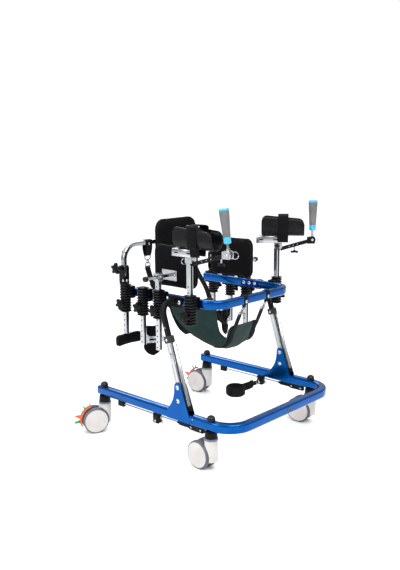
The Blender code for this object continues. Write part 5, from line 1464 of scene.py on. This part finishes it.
def arm_support(side):
    """An arm post, the beam on it with its head, grip joint, rings and handle, and what the beam carries."""
    label = NAMES[side]
    x, y = side * POST_X, POST_Y["arm"]
    place, forward = arm_place(side)
    across = forward.cross(Z_AXIS)
    post = Piece(f"arm_column_post_{label}", f"arm_column_{label}", f"arm_post_{label}")
    holed_post(post, x, y, 0.6003, ARM_TOP - 0.0005, 0.7395, 0.80)
    post.done("satin_aluminium")

    bar = Piece(f"arm_beam_{label}", f"arm_{label}", f"arm_bar_{label}")
    joint = SILVER if side == RIGHT else BLACK
    low = ARM_TOP + 0.0006
    bar.add(box((-0.0148, low, -0.0168), (0.0248, low + 0.0238, 0.0168), place), SILVER, 0.0022)
    bar.add(box((0.0170, ARM_TOP - 0.0115, -0.0088), (0.0248, low + 0.004, 0.0088), place), MATTE, 0.0012)
    reach, pivot_z = GRIP_REACH[side], GRIP_Z[side]
    start = spot(place, 0.0225, BEAM_LOW, 0)
    end = spot(place, reach - 0.022, pivot_z - 0.009, 0)
    slope = (end - start).normalized()
    side_way = slope.cross(Z_AXIS).normalized()
    bar.add(swept([start, end], rounded_outline(0.0137, 0.0177, 0.0025, 3), side_way.cross(slope)), MATTE)
    rivet = [(0.0022, -0.0005), (0.0022, 0.0002), (0.0015, 0.0001)]
    for share in (0.30, 0.45, 0.60):
        for sign in (-1, 1):
            centre = start.lerp(end, share) + side_way * sign * 0.0069
            bar.add(turned(rivet, centre, side_way * sign, 16), CHROME)
    clamp_low = pivot_z - 0.0196
    head = (reach - 0.0102, pivot_z + 0.0120, 0.0156)
    bar.add(box((reach - 0.0256, clamp_low, -0.0156), head, place), joint, 0.0018)
    cheek = [(reach - 0.0180, clamp_low + 0.0004), (reach + 0.0120, clamp_low + 0.0004)]
    cheek += flat_arc((reach, pivot_z - 0.0002), 0.0156, -30, 120, 10)
    cheek.append((reach - 0.0180, pivot_z + 0.0100))
    for sign in (-1, 1):
        zs = span(sign, 0.0066, 0.0157)
        bar.add(prism(cheek, zs[0], zs[1], place), joint, 0.0011)
        add_bolt(bar, spot(place, reach, pivot_z, sign * 0.0158), across * sign, 0.0052, 0.0026)
    ring = spot(place, reach + 0.0140, pivot_z - 0.006, -0.0240)
    bar.add(ring_wire(ring, forward * 0.35 + across, 0.0150, 0.0013), CHROME)
    pin = [spot(place, reach + 0.004, pivot_z - 0.010, c) for c in (-0.0215, -0.0140)]
    bar.add(rod(*pin, 0.0042), CHROME)
    knob_reach = KNOB_REACH[side]
    share = (knob_reach - 0.022) / (reach - 0.022 - 0.022)
    knob_z = BEAM_LOW + share * (pivot_z - 0.009 - BEAM_LOW)
    shank, collar_z, handle_z = [spot(place, knob_reach, knob_z - drop, 0) for drop in (0.032, 0.030, 0.034)]
    bar.add(rod(spot(place, knob_reach, knob_z, 0), shank, 0.0038), STEEL)
    half = [(0.0030, 0.0178), (0.0052, 0.0168), (0.0058, 0.0120), (0.0042, 0.0055)]
    handle = [(radius, -height) for radius, height in half] + [(0.0048, 0.0)] + half[::-1]
    bar.add(turned(handle, handle_z, forward, 24), BLACK)
    bar.add(turned([(0.0062, -0.0050), (0.0062, 0.0030), (0.0048, 0.0050)], collar_z, Z_AXIS, 24), BLACK)
    if side == RIGHT:
        pull = spot(place, -0.0150, low + 0.008, 0)
        bar.add(rod(pull, pull - forward * 0.008, 0.0042), CHROME)
        ring = pull - forward * 0.012 - across * 0.004 * side - Z_AXIS * 0.004
        bar.add(ring_wire(ring, forward + across * 0.5, 0.0125, 0.0016), CHROME)
    else:
        knob = [(0.0050, -0.0005), (0.0050, 0.0040), (0.0118, 0.0045), (0.0126, 0.0070), (0.0124, 0.0110),
                (0.0105, 0.0142), (0.0060, 0.0156), (0.0001, 0.0158)]
        bar.add(turned(knob, spot(place, 0.0010, low + 0.0115, 0.0165), across, 40), GLOSS_BLACK)
    bar.done("black_coated_tube")
    trough(side, label, place)
    hand_grip(side, label, place, forward)


def trough(side, label, place):
    """The aluminium rail, the moulded padded gutter on it and the wide strap over it."""
    shift = TROUGH_SHIFT[side]
    arm = Piece(f"forearm_trough_{label}", f"forearm_{label}", f"arm_trough_{label}")
    outline = rounded_outline(0.0396, RAIL_HEIGHT - 0.0010, 0.0030, 3)
    rail_z = TROUGH_SEAT + RAIL_HEIGHT / 2
    rail_place = place @ Matrix.Translation((0, rail_z, 0)) @ axes_frame((0, 0, 0), Z_AXIS, Y_AXIS, X_AXIS)
    arm.add(prism(outline, -0.0838 + shift, 0.0218 + shift, rail_place), SILVER, 0.0008, 1)
    # Thin strips of painted shade on both sides of the rail.
    for x in (-0.060, 0.008):
        for sign in (-1, 1):
            arm.add(block((x + shift, rail_z, sign * 0.0198), (0.020, 0.0055, 0.0004), place), SHADE)
    base = TROUGH_SEAT + RAIL_HEIGHT + 0.0004
    length = GUTTER_FRONT - GUTTER_REAR
    stations, rings = 33, []
    for i in range(stations):
        t = (1 - math.cos(math.pi * i / (stations - 1))) / 2
        along = GUTTER_REAR + length * t + shift
        away = min(t, 1 - t) * length
        corner = max(0.0, 1 - away / GUTTER_CORNER)
        height = 0.0975 + (0.0795 - 0.0975) * t - GUTTER_CORNER * (1 - (1 - corner ** 2) ** 0.5)
        edge = max(0.0, 1 - away / 0.005)
        section = gutter_outline(height, (1 - edge ** 2) ** 0.5)
        rings.append([spot(place, along, base + b, a) for a, b in section])
    arm.add(loft(rings), LEATHER)
    middle = 0.045 + shift
    right = [(0.0205, -0.0300), (0.0260, 0.0010), (0.0400, 0.0120), (0.0438, 0.030), (0.0440, 0.060),
             (0.0436, 0.082)]
    left = [(-a, b) for a, b in right]
    crown = [math.radians(180 - 15 * k) for k in range(1, 12)]
    hoop = left + [(0.0436 * math.cos(a), 0.092 + 0.0130 * math.sin(a)) for a in crown] + right[::-1]
    path = [spot(place, middle, base + b, a) for a, b in hoop]
    forward = (place.to_3x3() @ X_AXIS).normalized()
    arm.add(strap_shape(smooth_path(path, 4), 0.050, 0.0032, forward), VELOUR)
    arm.done("black_upholstery", 50)


def gutter_outline(height, ends):
    """The gutter's section, a thick padded wall with rounded lips; it thins as ends falls from 1 to 0."""
    outer_half, wall = 0.0418 - 0.0028 * (1 - ends), 0.0030 + 0.0056 * ends
    centre = (0.0, 0.0418)
    outer = flat_arc(centre, outer_half, 180, 360, 16)
    inner = flat_arc(centre, outer_half - wall, 360, 180, 16)
    lip = outer_half - wall / 2
    left_cap = flat_arc((-lip, height - wall / 2), wall / 2, 180, 0, 6, skip=1)[:-1]
    right_cap = flat_arc((lip, height - wall / 2), wall / 2, 0, 180, 6, skip=1)[:-1]
    up = [height * share for share in (0.62, 0.75, 0.88)]
    down = up[::-1]
    outside = [(-outer_half, z) for z in down] + outer + [(outer_half, z) for z in up]
    inside = [(outer_half - wall, z) for z in down] + inner + [(-outer_half + wall, z) for z in up]
    return left_cap + outside + right_cap + inside


def hand_grip(side, label, place, forward):
    """A hand grip on its tongue and stem, with a collar and a cap."""
    pivot = spot(place, GRIP_REACH[side], GRIP_Z[side], 0)
    tilt = GRIP_TILT[side]
    up = Z_AXIS * math.cos(tilt) - forward * math.sin(tilt)
    grip = Piece(f"hand_grip_handle_{label}", f"grip_{label}", f"hand_grip_{label}")
    grip.add(turned([(0.0052, -0.004), (0.0052, 0.048)], pivot, up, 24), CHROME)
    ahead = up.cross(forward.cross(up)).normalized()
    lean = axes_frame(pivot, ahead, up, ahead.cross(up))
    half = 0.0062
    tongue = flat_arc((0.0, 0.0), half, 180, 360, 12) + [(half, 0.024), (-half, 0.024)]
    grip.add(prism(tongue, -0.0057, 0.0057, lean), SILVER, 0.0008, 1)
    collar = [(0.0118, 0.0440), (0.0142, 0.0450), (0.0156, 0.0475), (0.0158, 0.0680), (0.0150, 0.0705)]
    body = [(0.0152, 0.0700), (0.0160, 0.0715), (0.0164, 0.0850), (0.0178, 0.1100), (0.0196, 0.1400),
            (0.0209, 0.1650), (0.0213, 0.1775), (0.0208, 0.1795)]
    cap = [(0.0207, 0.1794), (0.0214, 0.1800), (0.0214, 0.1850), (0.0204, 0.1880), (0.0160, 0.1888),
           (0.0001, 0.1890)]
    for profile, material in ((collar, SKY), (body, GRIP), (cap, SKY)):
        grip.add(turned(profile, pivot, up, 48), material)
    grip.done("grip_rubber", 35)


# Sling
def sling_row(t):
    """The row of SLING before a share of the sling's length, and the share of the way to the next row."""
    rows = len(SLING) - 1
    place = min(max(t * rows, 0.0), rows - 1e-6)
    return int(place), place - int(place)


def between_rows(t, column):
    """A value of SLING at a share of the sling's length, on the straight line between two rows."""
    index, share = sling_row(t)
    return SLING[index][column] + (SLING[index + 1][column] - SLING[index][column]) * share


def half_width(t):
    """The sling's half width at a share of its length."""
    return between_rows(t, 2)


def sling_point(t, x_share, thickness=0.0):
    """A point on the sling at a share of its length and of its half width, and the sling's normal there."""
    index, share = sling_row(t)
    near = [SLING[min(max(index + k, 0), len(SLING) - 1)] for k in (-1, 0, 1, 2)]
    y, z, half, lift = [spline(*column, share) for column in zip(*near)]
    ends = (max(t - 0.02, 0), min(t + 0.02, 1))
    behind, ahead = [(between_rows(end, 0), between_rows(end, 1)) for end in ends]
    normal = Vector((0, behind[1] - ahead[1], ahead[0] - behind[0])).normalized()
    return Vector((half * x_share, y, z)) + normal * (lift * x_share ** 2 + thickness), normal


def under_sling(t, x, depth=STRAP_OFFSET):
    """A point under the sling at a share of its length and a distance from its middle line."""
    point, normal = sling_point(t, x / half_width(t))
    return point - normal * depth


def sling():
    """The cloth seat with faint wrinkles, thicker hems and round corners."""
    seat = Piece("sling_cloth", "upper", "sling_seat")
    rows, columns = 72, 40
    rings = []
    for i in range(rows + 1):
        t = (1 - math.cos(math.pi * i / rows)) / 2
        front, back = [], []
        narrow = corner_share(t)
        for j in range(columns + 1):
            s = (2 * j / columns - 1) * narrow
            wrinkle = 0.0011 * math.sin(9 * s + 4 * math.sin(7 * t)) * math.sin(math.pi * t) * (1 - s * s)
            wrinkle += 0.0008 * math.sin(34 * t + 3 * s)
            hem = 0.0023 if abs(s) > 0.93 * narrow or t < 0.03 or t > 0.97 else 0.0015
            point, normal = sling_point(t, s, wrinkle)
            front.append(point + normal * hem)
            back.append(point - normal * hem)
        rings.append(back + front[::-1])
    seat.add(loft(rings), CLOTH)
    for s in (-1, 1):
        turns = [(1 - math.cos(math.pi * i / 80)) / 2 for i in range(81)]
        edge = [sling_point(t, s * corner_share(t))[0] for t in turns]
        seat.add(wire(edge, 0.0027, 8), CLOTH)
    return seat.done("sling_fabric", 80)


def corner_share(t):
    """How much of its half width the cloth keeps at a share of its length, with its corners round."""
    away = min(t, 1 - t) * SLING_LENGTH
    corner = max(0.0, 1 - away / SLING_CORNER)
    return 1 - SLING_CORNER / half_width(t) * (1 - (1 - corner ** 2) ** 0.5)


def sewn_strap(name, x, first, last, lead, width):
    """Webbing sewn under the sling between two shares of its length, and then on along the lead."""
    strap = Piece(name, "upper")
    path = [under_sling(first + (last - first) * step / 16, x) for step in range(17)]
    strap.add(strap_shape(path + lead, width, 0.0024), WEBBING)
    return strap


def slide_buckle(piece, centre, along, width):
    """A three-bar slide on a strap."""
    along = Vector(along).normalized()
    place = axes_frame(centre, X_AXIS, along, along.cross(X_AXIS))
    for offset in (-0.0095, 0.0, 0.0095):
        piece.add(block((0, offset, 0.0022), (width, 0.0036, 0.0030), place), BLACK, 0.0009)
    for sign in (-1, 1):
        middle = (sign * (width / 2 - 0.0014), 0, 0.0022)
        piece.add(block(middle, (0.0030, 0.0225, 0.0030), place), BLACK, 0.0009)


def front_strap(side):
    """A strap from the sling's front edge to the loop on the front bar, with its slides and its snap hook."""
    x = side * FRONT_STRAP_X
    bar_low = FRAME_TOP - FRAME_SIZE[1]
    top = Vector((x, -0.2600, bar_low - 0.0490))
    lean = (Vector((x, FRAME_FRONT, bar_low - 0.0125)) - top).normalized()
    start = under_sling(0.10, x)
    halfway = [start.lerp(top, 0.35) - Y_AXIS * 0.002, start.lerp(top, 0.7) - Y_AXIS * 0.001]
    lead = smooth_path([start, *halfway, top], 6)[1:]
    strap = sewn_strap(f"sling_front_strap_{NAMES[side]}", x, 0.42, 0.10, lead, 0.032)
    for share in (0.30, 0.16):
        along = under_sling(share, x, 0.0) - under_sling(share + 0.03, x, 0.0)
        slide_buckle(strap, under_sling(share, x, STRAP_OFFSET + 0.0008), along, 0.038)
    strap.add(ring_wire(top + lean * 0.0040, X_AXIS.cross(lean), 0.0135, 0.0024, 1.1), WIRE)
    hook = top + lean * 0.0160
    strap.add(turned([(0.0050, 0.0), (0.0050, 0.006), (0.0032, 0.0075)], hook, lean, 24), WIRE)
    bow = ((0.0, 0.006), (0.0070, 0.012), (0.0080, 0.019), (0.0, 0.0265), (-0.0080, 0.019), (-0.0060, 0.010))
    eye = ((0.0, 0.001), (0.0055, -0.006), (0.0, -0.0115), (-0.0055, -0.006), (-0.0035, 0.0))
    for shape, radius in ((bow, 0.0023), (eye, 0.0022)):
        strap.add(wire(smooth_path([hook + X_AXIS * a + lean * b for a, b in shape], 5), radius), WIRE)
    tab = [(x, FRAME_FRONT, bar_low - 0.0012), (x, FRAME_FRONT, bar_low - 0.014)]
    strap.add(strap_shape(tab, 0.0235, 0.0036), WEBBING)
    return strap.done("sling_fabric", 60)


def rear_strap(side):
    """A strap from the sling's rear edge to the hook on the arch's loop; the strap rides on no body, and the
    ring at the hook rides on the back support.
    """
    hook_x = side * LOOP_X
    slide = Vector((side * (LOOP_X + 0.005), 0.205, 0.705))
    x = side * REAR_STRAP_X
    lead = smooth_path([under_sling(0.985, x), (side * (LOOP_X + 0.001), 0.160, 0.652), slide,
                        (hook_x, ARCH_Y - 0.004, 0.772), (hook_x, ARCH_Y, 0.795)], 7)[1:]
    strap = sewn_strap(f"sling_rear_strap_{NAMES[side]}", x, 0.72, 0.985, lead, 0.034)
    slide_buckle(strap, slide, (0, 0.05, 0.065), 0.040)
    made = strap.done("sling_fabric", 60, rides=False)
    link = Piece(f"sling_rear_link_{NAMES[side]}", "back_support")
    link.add(ring_wire((hook_x, ARCH_Y, 0.8000), Y_AXIS, 0.0110, 0.0023, 1.5), WIRE)
    link.done()
    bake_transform(made)
    return made


# Stage
def stage():
    """A pale floor, a studio sky that the camera sees as white, and three soft lights."""
    ground = bpy.data.meshes.new("floor")
    size = 9.0
    corners = [(-size, -size, 0), (size, -size, 0), (size, size, 0), (-size, size, 0)]
    ground.from_pydata(corners, [], [(0, 1, 2, 3)])
    floor = bpy.data.objects.new("floor", ground)
    floor.location.z = -0.0002
    bpy.context.scene.collection.objects.link(floor)
    floor.data.materials.append(surface("pale_floor", (0.96, 0.96, 0.96), 0.9)[0])

    world = bpy.data.worlds.new("studio")
    bpy.context.scene.world = world
    world.use_nodes = True
    tree = world.node_tree
    sky = spread(tree, split_coordinate(tree, "Generated")["Z"], 0.26, 1.5, 0.0, 0.85)
    around = tree.nodes["Background"]
    tree.links.new(sky, around.inputs["Strength"])
    around.inputs["Color"].default_value = (0.97, 0.985, 1.0, 1.0)
    backdrop = node(tree, "ShaderNodeBackground", Strength=1.1)
    backdrop.inputs["Color"].default_value = (1.0, 1.0, 1.0, 1.0)
    mix = tree.nodes.new("ShaderNodeMixShader")
    tree.links.new(tree.nodes.new("ShaderNodeLightPath").outputs["Is Camera Ray"], mix.inputs["Fac"])
    tree.links.new(around.outputs["Background"], mix.inputs[1])
    tree.links.new(backdrop.outputs["Background"], mix.inputs[2])
    tree.links.new(mix.outputs["Shader"], tree.nodes["World Output"].inputs["Surface"])
    bpy.context.scene.view_settings.view_transform = "Standard"

    def area(name, place, target, size, power):
        light = bpy.data.lights.new(name, "AREA")
        light.shape = "RECTANGLE"
        light.size, light.size_y = size
        light.energy = power
        lamp = bpy.data.objects.new(name, light)
        lamp.location = place
        lamp.rotation_euler = (Vector(target) - Vector(place)).to_track_quat("-Z", "Y").to_euler()
        bpy.context.scene.collection.objects.link(lamp)

    area("key", (-1.2, -2.6, 3.2), (0, 0, 0.5), (2.4, 1.4), 90)
    area("left", (-3.4, 0.8, 2.4), (0, 0, 0.5), (1.2, 2.4), 60)
    area("back", (1.5, 2.8, 2.6), (0, 0, 0.6), (2.5, 1.5), 60)


def camera():
    """The photograph's viewpoint, in a frame 400 wide and 570 high."""
    data = bpy.data.cameras.new("camera")
    data.sensor_fit = "VERTICAL"
    data.sensor_height = 36.0
    focal_length, picture_height = 725.4, 570.0
    data.lens = data.sensor_height * focal_length / picture_height
    data.clip_end = 60
    view = bpy.data.objects.new("camera", data)
    bpy.context.scene.collection.objects.link(view)
    yaw, pitch, roll = (math.radians(a) for a in (47.61, 10.61, -0.30))
    forward = Vector((math.sin(yaw) * math.cos(pitch), math.cos(yaw) * math.cos(pitch), -math.sin(pitch)))
    right = Vector((math.cos(yaw), -math.sin(yaw), 0))
    up = right.cross(forward)
    turned_right = right * math.cos(roll) + up * math.sin(roll)
    turned_up = up * math.cos(roll) - right * math.sin(roll)
    view.matrix_world = axes_frame(Vector((-2.540, -2.264, 1.345)) + SHIFT, turned_right, turned_up, -forward)
    bpy.context.scene.camera = view


def build():
    camera()
    stage()
    base_frame()
    for end in ("front", "rear"):
        for side in (RIGHT, LEFT):
            caster(end, side)
    upper_frame()
    back_arch()
    for side in (RIGHT, LEFT):
        ankle_rail(side)
        leg(side)
        leg_riser(side)
        for kind in POST_Y:
            clamp(kind, side)
        back_support(side)
        hip_support(side)
        thigh_support(side)
        arm_support(side)
    ankle_cuff()
    pads()
    cloth = sling()
    straps = []
    for side in (RIGHT, LEFT):
        straps += [front_strap(side), rear_strap(side)]


build()
